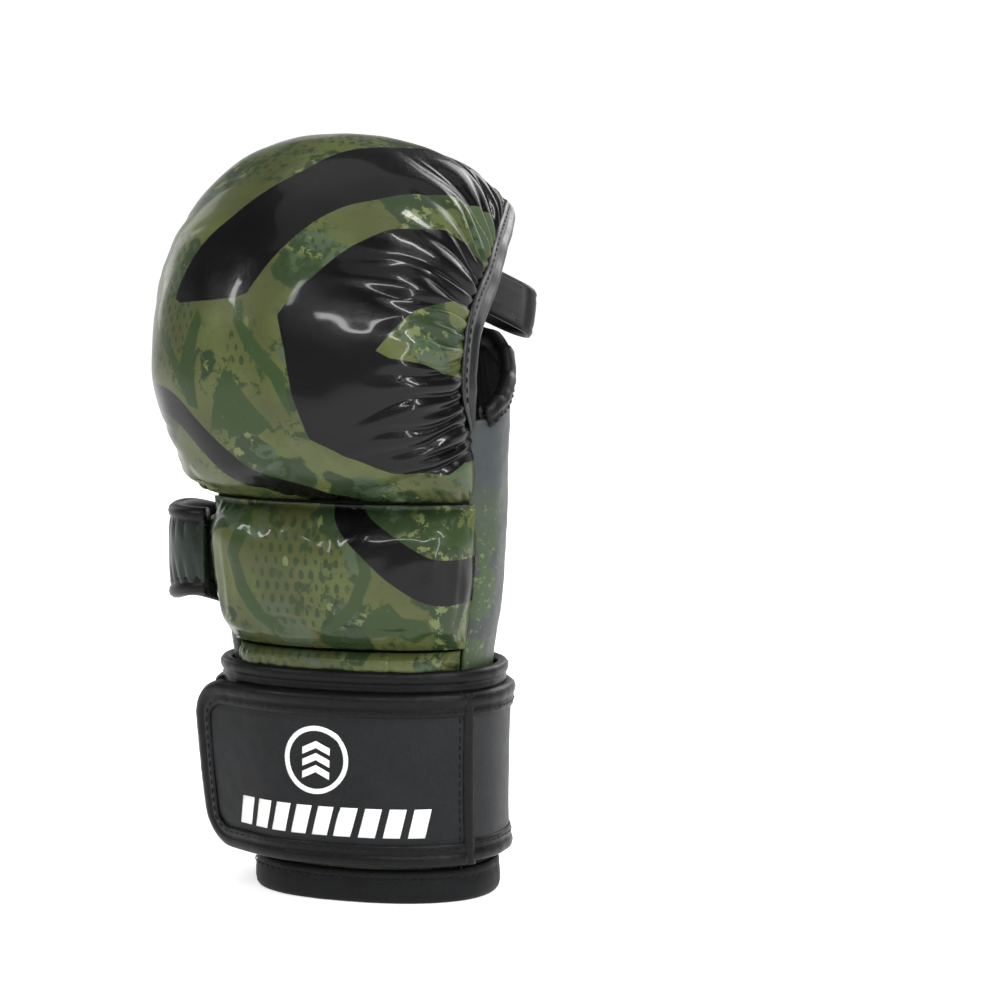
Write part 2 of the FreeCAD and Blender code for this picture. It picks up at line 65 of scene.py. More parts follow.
TUBE = [
    (0.0, 4.0, 0.0, 35.0, 36.5, 24.0, 24.0),
    (40.0, 2.0, -0.5, 37.0, 41.0, 25.0, 26.0),
    (80.0, 0.0, -2.5, 41.0, 43.5, 24.5, 28.5),
    (110.0, -1.0, -6.0, 47.0, 46.5, 22.5, 31.5),
    (135.0, -2.0, -8.0, 49.5, 48.5, 21.5, 33.0),
    (163.0, -4.0, -9.0, 52.5, 53.0, 21.5, 35.0),
    (190.0, -5.0, -8.0, 54.0, 54.0, 22.0, 36.0),
    (205.0, -5.0, -7.5, 54.0, 54.0, 22.0, 36.0),
]
HOOD = [
    (0.0, -30.2, 134.8, 0.0, 6.0, 13.0, 15.0, 47.5, 48.0, -3.5),
    (0.5, -30.4, 141.0, 1.0, 16.0, 10.0, 15.5, 49.5, 52.5, -4.2),
    (1.0, -30.4, 149.0, 2.0, 23.5, 8.2, 16.0, 50.5, 54.5, -5.0),
    (2.0, -30.2, 163.0, 5.0, 30.0, 6.0, 16.5, 51.5, 57.5, -6.5),
    (3.0, -28.8, 178.0, 14.0, 32.5, 2.5, 20.0, 53.0, 59.5, -8.5),
    (4.0, -25.5, 192.0, 26.0, 32.5, 3.5, 21.0, 54.0, 59.0, -9.5),
    (5.0, -18.5, 206.0, 42.0, 31.5, 9.0, 22.0, 54.7, 59.5, -10.5),
    (6.0, -7.5, 218.5, 60.0, 29.0, 14.0, 23.5, 54.5, 59.0, -11.0),
    (7.0, 6.5, 227.0, 78.0, 26.5, 14.4, 24.0, 53.2, 57.0, -11.0),
    (8.0, 21.0, 231.5, 92.0, 22.0, 12.0, 22.0, 51.5, 54.5, -11.0),
    (9.0, 35.5, 231.0, 104.0, 16.0, 6.5, 17.5, 49.0, 51.0, -11.0),
    (10.0, 48.0, 228.0, 115.0, 9.5, 1.0, 10.0, 45.0, 47.5, -11.0),
]


def pchip_table(rows, x0, x1, n):
    """Dense table of a shape-preserving cubic through the rows."""
    a = np.array(rows, float)
    x, y = a[:, 0], a[:, 1:]
    h = np.diff(x)
    d = np.diff(y, axis=0) / h[:, None]
    m = np.zeros_like(y)
    m[0], m[-1] = d[0], d[-1]
    for k in range(1, len(x) - 1):
        w0, w1 = 2 * h[k] + h[k - 1], h[k] + 2 * h[k - 1]
        same = d[k - 1] * d[k] > 0
        m[k] = np.where(same, (w0 + w1) / (w0 / np.where(same, d[k - 1], 1) + w1 / np.where(same, d[k], 1)), 0.0)
    xs = np.linspace(x0, x1, n)
    i = np.clip(np.searchsorted(x, xs, side="right") - 1, 0, len(x) - 2)
    t = (xs - x[i]) / h[i]
    tc = np.clip(t, 0, 1)[:, None]
    out = ((2 * tc**3 - 3 * tc**2 + 1) * y[i] + (tc**3 - 2 * tc**2 + tc) * m[i] * h[i][:, None]
           + (-2 * tc**3 + 3 * tc**2) * y[i + 1] + (tc**3 - tc**2) * m[i + 1] * h[i][:, None])
    out += np.where((t < 0)[:, None], m[i] * h[i][:, None] * t[:, None], 0.0)
    out += np.where((t > 1)[:, None], m[i + 1] * h[i][:, None] * (t - 1)[:, None], 0.0)
    return xs, out


TX, TT = pchip_table(TUBE, -8.0, 212.0, 2201)
HX, HT = pchip_table(HOOD, -0.6, 10.6, 2241)


def look(xs, tab, v):
    v = np.asarray(v, float)
    return [np.interp(v, xs, tab[:, c]) for c in range(tab.shape[1])]


def tube(phi, z, d):
    """Points on the wrist and hand tube, d millimetres outside the lining."""
    phi, z, d = np.broadcast_arrays(np.asarray(phi, float), np.asarray(z, float), np.asarray(d, float))
    cx, cy, ar, al, bb, bp = look(TX, TT, z)
    c, s = np.cos(np.radians(phi)), np.sin(np.radians(phi))
    a = np.where(c >= 0, ar, al) + d
    b = np.where(s >= 0, bp, bb) + d
    q = 2.0 / 2.25
    return np.stack([cx + a * np.sign(c) * np.abs(c) ** q + X_SHIFT, cy + b * np.sign(s) * np.abs(s) ** q + Y_SHIFT, z], -1)


def hood(theta, v, k=0.0, off=0.0, drop=0.0, ahead=0.0):
    """Points on the knuckle hood's arch: k from the pads' base (0) to the cover (1), off further outwards."""
    theta, v, k, off, drop, ahead = np.broadcast_arrays(*[np.asarray(q, float) for q in (theta, v, k, off, drop, ahead)])
    y, z, lean, t, hr, hl, wr, wl, cx = look(HX, HT, v)
    h = np.where(theta >= 0, hr, hl)
    side = np.where(theta >= 0, wr, wl)
    th = np.radians(theta)
    a = side - SIDE_WALL + k * SIDE_WALL + off
    n0 = k * t + off
    q = 2.0 / 2.3
    s, c = np.sin(th), np.maximum(0.0, np.cos(th))
    x = cx + a * np.sign(s) * np.abs(s) ** q
    n = -h + (n0 + h) * c**q - drop
    ln = np.radians(lean)
    ny, nz, ty, tz = -np.cos(ln), np.sin(ln), np.sin(ln), np.cos(ln)
    return np.stack([x + X_SHIFT, y + n * ny + ahead * ty + Y_SHIFT, z + n * nz + ahead * tz], -1)


def smooth(x, a, b):
    t = np.clip((np.asarray(x, float) - a) / (b - a), 0, 1)
    return t * t * (3 - 2 * t)


def table(rows, x):
    """Smoothstep-blended table."""
    x = np.asarray(x, float)
    out = np.full(x.shape, float(rows[-1][1]))
    out = np.where(x <= rows[0][0], rows[0][1], out)
    for (x0, y0), (x1, y1) in zip(rows, rows[1:]):
        t = np.clip((x - x0) / (x1 - x0), 0, 1)
        t = t * t * (3 - 2 * t)
        out = np.where((x > x0) & (x <= x1), y0 + (y1 - y0) * t, out)
    return out


def palm_top(p):
    return table([(-40.0, 160.5), (-22.0, 162.5), (-6.0, 166.0), (12.0, 172.5), (27.0, 181.0), (42.0, 185.5),
                  (58.0, 187.0), (100.0, 187.0)], p)


def thumb_edge(z):
    u = np.maximum(0.0, (146.0 - np.asarray(z, float)) / (146.0 - THUMB_CUT_Z))
    return THUMB_EDGE_P + 24.0 * u**2.3


# ------------------------------------------------------------------ small value noise, seeded
_perm = RNG.permutation(256)
_grad = RNG.normal(size=(256, 3))
_grad /= np.linalg.norm(_grad, axis=1)[:, None]


def noise(p):
    """Gradient noise, about -1 to 1, of points (..., 3)."""
    p = np.asarray(p, float)
    i = np.floor(p).astype(int)
    f = p - i
    u = f * f * f * (f * (f * 6 - 15) + 10)
    out = 0.0
    for dx in (0, 1):
        for dy in (0, 1):
            for dz in (0, 1):
                h = _perm[(_perm[(_perm[(i[..., 0] + dx) % 256] + i[..., 1] + dy) % 256] + i[..., 2] + dz) % 256]
                g = _grad[h]
                d = f - np.array([dx, dy, dz])
                w = (u[..., 0] if dx else 1 - u[..., 0]) * (u[..., 1] if dy else 1 - u[..., 1]) * (u[..., 2] if dz else 1 - u[..., 2])
                out = out + w * (g * d).sum(-1)
    return out * 1.6


# ------------------------------------------------------------------ mesh helpers
def grid_normals(g):
    """Unit normals of a point grid (n, m, 3)."""
    du = np.gradient(g, axis=0)
    dv = np.gradient(g, axis=1)
    n = np.cross(du, dv)
    return n / np.maximum(np.linalg.norm(n, axis=-1, keepdims=True), 1e-9)


def quads(nu, nv, base=0, wrap_u=False, flip=False):
    iu = np.arange(nu if wrap_u else nu - 1)
    iv = np.arange(nv - 1)
    a, b = np.meshgrid(iu, iv, indexing="ij")
    a2 = (a + 1) % nu
    q = np.stack([a * nv + b, a2 * nv + b, a2 * nv + b + 1, a * nv + b + 1], -1).reshape(-1, 4) + base
    return q[:, ::-1] if flip else q


def make(name, verts, faces, mats, face_mat=None, attrs=None, body=None, smooth_shade=True):
    """Mesh object from millimetre points. attrs: name -> per-vertex floats or 3-vectors."""
    me = bpy.data.meshes.new(name)
    v = np.asarray(verts, float) * MM
    me.from_pydata(v.tolist(), [], [list(map(int, f)) for f in faces])
    me.validate()
    if smooth_shade:
        me.polygons.foreach_set("use_smooth", np.ones(len(me.polygons), bool))
    for m in mats if isinstance(mats, (list, tuple)) else [mats]:
        me.materials.append(m)
    if face_mat is not None and len(face_mat) == len(me.polygons):
        me.polygons.foreach_set("material_index", np.asarray(face_mat, np.int32))
    for k, val in (attrs or {}).items():
        val = np.asarray(val, np.float32)
        if val.ndim == 2:
            at = me.attributes.new(k, "FLOAT_VECTOR", "POINT")
            at.data.foreach_set("vector", val.ravel())
        else:
            at = me.attributes.new(k, "FLOAT", "POINT")
            at.data.foreach_set("value", val.ravel())
    me.update()
    o = bpy.data.objects.new(name, me)
    bpy.context.scene.collection.objects.link(o)
    if body:
        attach(o, body)
    return o


def slab(name, outer, inner, mats, attrs=None, inner_mat=0, edge_mat=0, body=None):
    """Closed piece between two point grids of one size."""
    nu, nv = outer.shape[:2]
    n = nu * nv
    v = np.concatenate([outer.reshape(-1, 3), inner.reshape(-1, 3)])
    fo = quads(nu, nv)
    fi = quads(nu, nv, n, flip=True)

    def idx(i, j, b):
        return b + i * nv + j

    rim = [(i, 0) for i in range(nu)] + [(nu - 1, j) for j in range(1, nv)] + [(i, nv - 1) for i in range(nu - 2, -1, -1)] \
        + [(0, j) for j in range(nv - 2, 0, -1)]
    side = []
    for a, b in zip(rim, rim[1:] + rim[:1]):
        side.append([idx(*b, 0), idx(*a, 0), idx(*a, n), idx(*b, n)])
    side = np.array(side)
    # outward check: outer normals must point away from the inner grid
    nrm = grid_normals(outer)
    if ((outer - inner) * nrm).sum(-1).mean() < 0:
        fo, fi, side = fo[:, ::-1], fi[:, ::-1], side[:, ::-1]
    faces = np.concatenate([fo, fi, side])
    fm = np.concatenate([np.zeros(len(fo), int), np.full(len(fi), inner_mat), np.full(len(side), edge_mat)])
    at = {}
    for k, val in (attrs or {}).items():
        val = np.asarray(val, float)
        val = val.reshape(n, -1) if val.ndim == 3 else val.reshape(n)
        at[k] = np.concatenate([val, val])
    return make(name, v, faces, mats, fm, at, body)


def resample(path, step, closed=False):
    """Evenly spaced points along a polyline, with the fractional index of each."""
    p = np.asarray(path, float)
    if closed:
        p = np.concatenate([p, p[:1]])
    seg = np.linalg.norm(np.diff(p, axis=0), axis=1)
    s = np.concatenate([[0], np.cumsum(seg)])
    n = max(2, int(round(s[-1] / step)))
    t = np.linspace(0, s[-1], n + 1)
    if closed:
        t = t[:-1]
    k = np.interp(t, s, np.arange(len(p)))
    return np.stack([np.interp(t, s, p[:, c]) for c in range(3)], -1), k, s[-1]


def sweep(name, path, e1, e2, profile, mats, closed=False, attrs=None, body=None, prof_scale=None):
    """Closed profile (m, 2) in the (e1, e2) frame carried along a path; ends are capped with a fan."""
    path, e1, e2, profile = (np.asarray(q, float) for q in (path, e1, e2, profile))
    n, m = len(path), len(profile)
    sc = np.ones((n, 1, 2)) if prof_scale is None else np.asarray(prof_scale, float).reshape(n, 1, -1) * np.ones((n, 1, 2))
    pr = profile[None] * sc
    v = path[:, None] + pr[..., :1] * e1[:, None] + pr[..., 1:] * e2[:, None]
    faces = []
    rows = n if closed else n - 1
    i = np.arange(rows)[:, None]
    j = np.arange(m)[None]
    i2, j2 = (i + 1) % n, (j + 1) % m
    f = np.stack([i * m + j, i2 * m + j, i2 * m + j2, i * m + j2], -1).reshape(-1, 4)
    faces = f.tolist()
    v = v.reshape(-1, 3)
    if not closed:
        c0, c1 = len(v), len(v) + 1
        v = np.concatenate([v, path[:1] + profile.mean(0)[0] * e1[:1] + profile.mean(0)[1] * e2[:1],
                            path[-1:] + profile.mean(0)[0] * e1[-1:] + profile.mean(0)[1] * e2[-1:]])
        for j in range(m):
            faces.append([(j + 1) % m, c0, j])
            faces.append([(n - 1) * m + j, c1, (n - 1) * m + (j + 1) % m])
    # signed volume decides the winding
    q = np.array([x if len(x) == 4 else x + [x[-1]] for x in faces])
    a, b, c, d = (v[q[:, k]] for k in range(4))
    vol = (np.einsum("ij,ij->i", a, np.cross(b, c)) + np.einsum("ij,ij->i", a, np.cross(c, d))).sum()
    if vol < 0:
        faces = [x[::-1] for x in faces]
    return make(name, v, faces, mats, None, attrs, body)


def frames(path, normal, closed=False):
    """Tangent, in-surface side vector and cleaned normal along a path."""
    p = np.asarray(path, float)
    if closed:
        t = np.roll(p, -1, 0) - np.roll(p, 1, 0)
    else:
        t = np.gradient(p, axis=0)
    t /= np.maximum(np.linalg.norm(t, axis=1, keepdims=True), 1e-9)
    n = np.asarray(normal, float)
    n = n - (n * t).sum(1, keepdims=True) * t
    n /= np.maximum(np.linalg.norm(n, axis=1, keepdims=True), 1e-9)
    return t, np.cross(n, t), n


STITCH = []


def stitches(name, path, normal, mat, body, pitch=3.4, length=2.3, r=0.30, lift=0.10, closed=False, skew=0.0):
    """A row of thread stitches lying on a surface along a path."""
    pts, k, total = resample(path, pitch, closed)
    nrm = np.asarray(normal, float)
    if closed:
        nrm = np.concatenate([nrm, nrm[:1]])
    nn = np.stack([np.interp(k, np.arange(len(nrm)), nrm[:, c]) for c in range(3)], -1)
    t, s, n = frames(pts, nn, closed)
    if skew:
        t = t + s * skew
        t /= np.linalg.norm(t, axis=1, keepdims=True)
    rings = [(-0.5, 0.25, -0.35), (-0.36, 0.85, 0.0), (0.0, 1.0, 0.18), (0.36, 0.85, 0.0), (0.5, 0.25, -0.35)]
    ang = np.linspace(0, 2 * np.pi, 6, endpoint=False)
    V, F = [], []
    for i in range(len(pts)):
        base = len(V) * 1
        b0 = i * (len(rings) * 6)
        for u, w, h in rings:
            c = pts[i] + t[i] * length * u + n[i] * (lift + h * r * 1.2)
            for a in ang:
                V.append(c + r * w * (math.cos(a) * s[i] + math.sin(a) * n[i]))
        for q in range(len(rings) - 1):
            for j in range(6):
                F.append([b0 + q * 6 + j, b0 + q * 6 + (j + 1) % 6, b0 + (q + 1) * 6 + (j + 1) % 6, b0 + (q + 1) * 6 + j])
        F.append([b0 + 5 - j for j in range(6)])
        F.append([b0 + (len(rings) - 1) * 6 + j for j in range(6)])
    o = make(name, np.array(V), F, mat, body=body)
    return o


def valleys(s, r, items):
    """Sum of gathered-leather creases. items: position, half-width, length, depth, slant, wiggle, phase."""
    out = np.zeros_like(s)
    for s0, w, ln, dep, slant, wig, ph in items:
        c = s0 + slant * r + wig * np.sin(r * 0.16 + ph) * smooth(r, 0, 12)
        g = 1 - smooth(r, ln * 0.25, ln)
        ww = w * (1 + r * 0.028)
        x = (s - c) / ww
        out = np.maximum(out, dep * g / (1 + x * x) ** 1.3) + 0.25 * np.minimum(out, dep * g / (1 + x * x) ** 1.3)
    return out

# ------------------------------------------------------------------ materials
def srgb(h):
    c = [int(h[i:i + 2], 16) / 255.0 for i in (1, 3, 5)]
    return tuple([x / 12.92 if x <= 0.04045 else ((x + 0.055) / 1.055) ** 2.4 for x in c] + [1.0])


class Mat:
    """Small node-tree writer."""

    def __init__(self, name, coords="object"):
        self.m = bpy.data.materials.new(name)
        self.m.use_nodes = True
        self.nt = self.m.node_tree
        self.nt.nodes.clear()
        self.out = self.nt.nodes.new("ShaderNodeOutputMaterial")
        self.b = self.nt.nodes.new("ShaderNodeBsdfPrincipled")
        self.nt.links.new(self.b.outputs[0], self.out.inputs[0])
        tc = self.nt.nodes.new("ShaderNodeTexCoord")
        sc = self.nt.nodes.new("ShaderNodeVectorMath")
        sc.operation = "SCALE"
        sc.inputs["Scale"].default_value = 1000.0
        self.nt.links.new(tc.outputs["Object"], sc.inputs[0])
        self.p = sc.outputs[0]                      # position in millimetres

    def put(self, sock, val):
        if isinstance(val, bpy.types.NodeSocket):
            self.nt.links.new(val, sock)
        elif val is not None:
            if isinstance(val, str):
                val = srgb(val)
            sock.default_value = val

    def attr(self, name, vector=False):
        n = self.nt.nodes.new("ShaderNodeAttribute")
        n.attribute_name = name
        return n.outputs["Vector" if vector else "Fac"]

    def math(self, op, a, b=None, c=None, clamp=False):
        n = self.nt.nodes.new("ShaderNodeMath")
        n.operation = op
        n.use_clamp = clamp
        for i, v in enumerate((a, b, c)):
            self.put(n.inputs[i], v)
        return n.outputs[0]

    def vec(self, op, a, b=None, scale=None):
        n = self.nt.nodes.new("ShaderNodeVectorMath")
        n.operation = op
        self.put(n.inputs[0], a)
        if b is not None:
            self.put(n.inputs[1], b)
        if scale is not None:
            self.put(n.inputs["Scale"], scale)
        return n.outputs[0]

    def mix(self, fac, a, b, mode="MIX"):
        n = self.nt.nodes.new("ShaderNodeMix")
        n.data_type = "RGBA"
        n.blend_type = mode
        self.put(n.inputs[0], fac)
        self.put(n.inputs[6], a)
        self.put(n.inputs[7], b)
        return n.outputs[2]

    def step(self, v, edge, width, low=0.0, high=1.0):
        n = self.nt.nodes.new("ShaderNodeMapRange")
        n.interpolation_type = "SMOOTHSTEP"
        self.put(n.inputs["Value"], v)
        n.inputs["From Min"].default_value = edge - width
        n.inputs["From Max"].default_value = edge + width
        n.inputs["To Min"].default_value = low
        n.inputs["To Max"].default_value = high
        return n.outputs[0]

    def noise(self, scale, detail=2.0, rough=0.5, vec=None, dist=0.0, color=False, w=None):
        n = self.nt.nodes.new("ShaderNodeTexNoise")
        if w is not None:
            n.noise_dimensions = "4D"
            n.inputs["W"].default_value = w
        self.put(n.inputs["Vector"], self.p if vec is None else vec)
        n.inputs["Scale"].default_value = scale
        n.inputs["Detail"].default_value = detail
        n.inputs["Roughness"].default_value = rough
        n.inputs["Distortion"].default_value = dist
        return n.outputs["Color" if color else "Fac"]

    def cells(self, scale, vec=None, feature="F1", rand=1.0, out="Distance", metric="EUCLIDEAN"):
        n = self.nt.nodes.new("ShaderNodeTexVoronoi")
        n.feature = feature
        if feature != "DISTANCE_TO_EDGE":
            n.distance = metric
        self.put(n.inputs["Vector"], self.p if vec is None else vec)
        n.inputs["Scale"].default_value = scale
        n.inputs["Randomness"].default_value = rand
        return n.outputs[out]

    def bump(self, height, mm, strength=1.0, normal=None):
        n = self.nt.nodes.new("ShaderNodeBump")
        n.inputs["Strength"].default_value = strength
        n.inputs["Distance"].default_value = mm * MM
        self.put(n.inputs["Height"], height)
        if normal is not None:
            self.put(n.inputs["Normal"], normal)
        return n.outputs[0]

    def split(self, v):
        n = self.nt.nodes.new("ShaderNodeSeparateXYZ")
        self.put(n.inputs[0], v)
        return n.outputs

    def join(self, x, y, z=0.0):
        n = self.nt.nodes.new("ShaderNodeCombineXYZ")
        for i, v in enumerate((x, y, z)):
            self.put(n.inputs[i], v)
        return n.outputs[0]

    def done(self, color, rough, normal=None, coat=0.0, coat_rough=0.1, sheen=0.0, spec=0.5, sheen_rough=0.4):
        self.put(self.b.inputs["Base Color"], color)
        self.put(self.b.inputs["Roughness"], rough)
        self.put(self.b.inputs["Normal"], normal)
        self.put(self.b.inputs["Coat Weight"], coat)
        self.put(self.b.inputs["Coat Roughness"], coat_rough)
        if normal is not None and not isinstance(coat, float):
            self.put(self.b.inputs["Coat Normal"], normal)
        self.b.inputs["Sheen Weight"].default_value = sheen
        self.b.inputs["Sheen Roughness"].default_value = sheen_rough
        self.b.inputs["Specular IOR Level"].default_value = spec
        self.m["kind"] = "procedural"
        return self.m


def leather_height(m, fine=1.0, coarse=0.35):
    """Leather grain: small cells with soft creases between them and larger slow wrinkles."""
    warp = m.vec("ADD", m.p, m.vec("SCALE", m.noise(0.9, 2, 0.5, color=True), scale=0.8))
    grain = m.cells(1.25 * fine, warp, "DISTANCE_TO_EDGE")
    g = m.step(grain, 0.10, 0.10)
    pores = m.noise(3.2 * fine, 3, 0.6)
    slow = m.noise(coarse, 3, 0.55, dist=0.6)
    h = m.math("ADD", m.math("MULTIPLY", g, 0.55), m.math("MULTIPLY", pores, 0.35))
    return m.math("ADD", h, m.math("MULTIPLY", slow, 0.5))


def dark_leather(name, base, deep, light, rough=0.5, grain=0.035, coat=0.0, fine=1.0, spec=0.4):
    m = Mat(name)
    h = leather_height(m, fine)
    tone = m.noise(0.055, 3, 0.6)
    fleck = m.noise(1.7, 2, 0.6)
    col = m.mix(m.step(tone, 0.5, 0.22), deep, base)
    col = m.mix(m.math("MULTIPLY", m.step(fleck, 0.62, 0.14), 0.35), col, light)
    wear = m.nt.nodes.new("ShaderNodeNewGeometry").outputs["Pointiness"]
    edge = m.step(wear, 0.56, 0.05)
    scuff = m.math("MULTIPLY", edge, m.step(m.noise(0.5, 3, 0.6), 0.45, 0.2))
    col = m.mix(m.math("MULTIPLY", scuff, 0.5), col, light)
    r = m.math("ADD", rough - 0.07, m.math("MULTIPLY", m.noise(0.3, 3, 0.6), 0.16))
    return m.done(col, r, m.bump(h, grain), coat=coat, coat_rough=0.3, spec=spec)


def printed_leather(name, where, seed=0.0):
    """Glossy leather with a camouflage and scale print; where: 'pad', 'back' or 'plain'."""
    m = Mat(name)
    uv = m.attr("print_place", True)                       # millimetres across and along the piece
    warp = m.vec("ADD", uv, m.vec("SCALE", m.vec("SUBTRACT", m.noise(0.16, 3, 0.6, uv, color=True), (0.5, 0.5, 0.5)), scale=5.0))
    rag = m.vec("ADD", uv, m.vec("SCALE", m.vec("SUBTRACT", m.noise(0.55, 4, 0.72, uv, color=True), (0.5, 0.5, 0.5)), scale=3.2))
    n1 = m.noise(0.03, 2, 0.5, warp, w=1.0 + seed)
    n2 = m.noise(0.034, 2, 0.5, rag, w=7.3 + seed)
    n3 = m.noise(0.05, 2, 0.5, rag, w=13.1 + seed)
    n4 = m.noise(0.2, 4, 0.7, rag, w=21.7 + seed)
    olive = m.mix(m.step(n1, 0.5, 0.14), "#3f4427", "#4c532f")
    dark = "#27341f"
    col = m.mix(m.step(n2, 0.545, 0.006), olive, dark)
    grey = m.math("MULTIPLY", m.step(n3, 0.585, 0.014), m.step(m.noise(0.3, 4, 0.7, rag), 0.44, 0.02))
    col = m.mix(m.math("MULTIPLY", grey, 0.85), col, "#3c4a38")
    broken = m.math("MULTIPLY", m.step(n4, 0.555, 0.012), m.step(m.noise(0.03, 2, 0.5, uv, w=31.0 + seed), 0.48, 0.03))
    col = m.mix(broken, col, m.mix(m.step(n2, 0.545, 0.010), "#2b3820", "#5d643e"))
    # rows of scale spots in a few fields
    x, y, _ = m.split(uv)
    px, py = 3.5, 4.1
    row = m.math("DIVIDE", y, py)
    rowi = m.math("FLOOR", row)
    half = m.math("MULTIPLY", m.math("FLOORED_MODULO", rowi, 2.0), 0.5)
    colx = m.math("ADD", m.math("DIVIDE", x, px), half)
    fx = m.math("SUBTRACT", m.math("FRACT", colx), 0.5)
    fy = m.math("SUBTRACT", m.math("FRACT", row), 0.5)
    drop = m.math("ADD", 0.19, m.math("MULTIPLY", fy, -0.26))
    dist = m.math("SQRT", m.math("ADD", m.math("MULTIPLY", fx, fx), m.math("MULTIPLY", m.math("MULTIPLY", fy, fy), 0.42)))
    keep = m.nt.nodes.new("ShaderNodeTexWhiteNoise")
    keep.noise_dimensions = "2D"
    m.put(keep.inputs["Vector"], m.join(m.math("FLOOR", colx), rowi))
    size = m.math("ADD", drop, m.math("MULTIPLY", m.math("SUBTRACT", keep.outputs["Value"], 0.55), 0.16))
    spot = m.step(m.math("SUBTRACT", size, dist), 0.0, 0.035)
    field = m.step(m.attr("spots"), 0.5, 0.12) if where != "plain" else m.step(m.noise(0.04, 2, 0.5, uv, w=44.0), 0.56, 0.03)
    field = m.math("MULTIPLY", field, m.step(m.noise(0.35, 2, 0.6, uv, w=5.0), 0.30, 0.05))
    spotcol = m.mix(m.step(keep.outputs["Value"], 0.985, 0.01), "#2c3821", "#5d6541")
    col = m.mix(m.math("MULTIPLY", spot, field), col, spotcol)
    rough = m.math("ADD", 0.24, m.math("MULTIPLY", m.noise(0.25, 3, 0.6), 0.10))
    if where != "plain":
        ink = m.step(m.attr("strokes"), 0.0, 0.35, 1.0, 0.0)
        worn = m.step(m.noise(0.4, 4, 0.75, rag, w=3.0), 0.36, 0.03)
        col = m.mix(m.math("MULTIPLY", ink, worn), col, "#2c3b20")
        blk = m.step(m.attr("black"), 0.0, 0.22, 1.0, 0.0)
        black = m.mix(m.noise(0.05, 3, 0.6), "#050506", "#0b0b0d")
        col = m.mix(blk, col, black)
        rough = m.math("SUBTRACT", rough, m.math("MULTIPLY", blk, 0.05))
    grain = leather_height(m, 1.1, 0.25)
    creep = m.noise(0.45, 3, 0.55, dist=1.2)
    nrm = m.bump(grain, 0.016)
    nrm = m.bump(creep, 0.12, 0.6, nrm)
    return m.done(col, rough, nrm, coat=0.22, coat_rough=0.07, spec=0.11)


def palm_leather():
    m = Mat("palm_leather")
    p = m.p
    rag = m.vec("ADD", p, m.vec("SCALE", m.vec("SUBTRACT", m.noise(0.5, 4, 0.72, color=True), (0.5, 0.5, 0.5)), scale=4.0))
    n1 = m.noise(0.035, 2, 0.5, rag, w=2.0)
    n2 = m.noise(0.05, 2, 0.5, rag, w=5.0)
    n3 = m.noise(0.7, 3, 0.7, rag, w=9.0)
    col = m.mix(m.noise(0.06, 3, 0.6), "#131415", "#1d1e20")
    col = m.mix(m.step(n1, 0.53, 0.012), col, "#1d2815")
    speck = m.math("MULTIPLY", m.step(n3, 0.578, 0.012), m.step(n2, 0.50, 0.05))
    col = m.mix(speck, col, m.mix(m.step(n1, 0.53, 0.012), "#35442a", "#56663f"))
    col = m.mix(m.math("MULTIPLY", m.step(n2, 0.64, 0.03), 0.55), col, "#3d4a33")
    return m.done(col, m.math("ADD", 0.40, m.math("MULTIPLY", m.noise(0.3, 2, 0.5), 0.14)), m.bump(leather_height(m), 0.035),
                  coat=0.06, coat_rough=0.3, spec=0.28)


def gusset_leather():
    m = Mat("gusset_leather")
    rag = m.vec("ADD", m.p, m.vec("SCALE", m.vec("SUBTRACT", m.noise(0.6, 4, 0.72, color=True), (0.5, 0.5, 0.5)), scale=3.0))
    n1 = m.noise(0.06, 2, 0.5, rag, w=4.0)
    n2 = m.noise(0.5, 3, 0.7, rag, w=6.0)
    col = m.mix(m.noise(0.05, 3, 0.6), "#2b2f31", "#3a3f41")
    low = m.step(m.split(m.p)[2], 135.0, 28.0, 1.0, 0.0)
    col = m.mix(m.math("MULTIPLY", m.step(n1, 0.52, 0.02), low), col, "#38452f")
    col = m.mix(m.math("MULTIPLY", m.math("MULTIPLY", m.step(n2, 0.60, 0.015), m.step(n1, 0.45, 0.05)), low), col, "#57683f")
    return m.done(col, m.math("ADD", 0.42, m.math("MULTIPLY", m.noise(0.3, 2, 0.5), 0.12)), m.bump(leather_height(m), 0.03),
                  coat=0.05, coat_rough=0.3, spec=0.26)


def textile(name, base, dark, pitch=0.9, depth=0.12, sheen=0.3):
    """Knitted lining: interlocking rows of loops."""
    m = Mat(name)
    x, y, z = m.split(m.p)
    around = m.math("ADD", x, m.math("MULTIPLY", y, 0.9))
    a = m.math("SINE", m.math("MULTIPLY", around, 6.2832 / pitch))
    b = m.math("SINE", m.math("ADD", m.math("MULTIPLY", z, 6.2832 / (pitch * 0.8)), m.math("MULTIPLY", a, 0.9)))
    loop = m.math("MULTIPLY", m.math("ADD", a, 1.2), m.math("ADD", b, 1.2))
    h = m.math("ADD", m.math("MULTIPLY", loop, 0.2), m.math("MULTIPLY", m.noise(2.2, 2, 0.6), 0.4))
    col = m.mix(m.step(loop, 0.9, 0.9), dark, base)
    col = m.mix(m.math("MULTIPLY", m.noise(0.08, 3, 0.6), 0.4), col, dark)
    return m.done(col, 0.85, m.bump(h, depth), sheen=sheen, spec=0.25)


def foam_mat():
    m = Mat("foam_cut")
    h = m.math("ADD", m.cells(0.9, rand=1.0), m.noise(2.5, 2, 0.6))
    col = m.mix(m.noise(0.1, 3, 0.6), "#2b2b2d", "#3a3a3c")
    return m.done(col, 0.9, m.bump(h, 0.1))


def thread_mat():
    m = Mat("thread")
    x, y, z = m.split(m.p)
    tw = m.math("SINE", m.math("MULTIPLY", m.math("ADD", m.math("ADD", x, y), z), 18.0))
    col = m.mix(m.noise(0.8, 2, 0.5), "#09090a", "#141416")
    return m.done(col, 0.55, m.bump(tw, 0.05), sheen=0.04, spec=0.15)


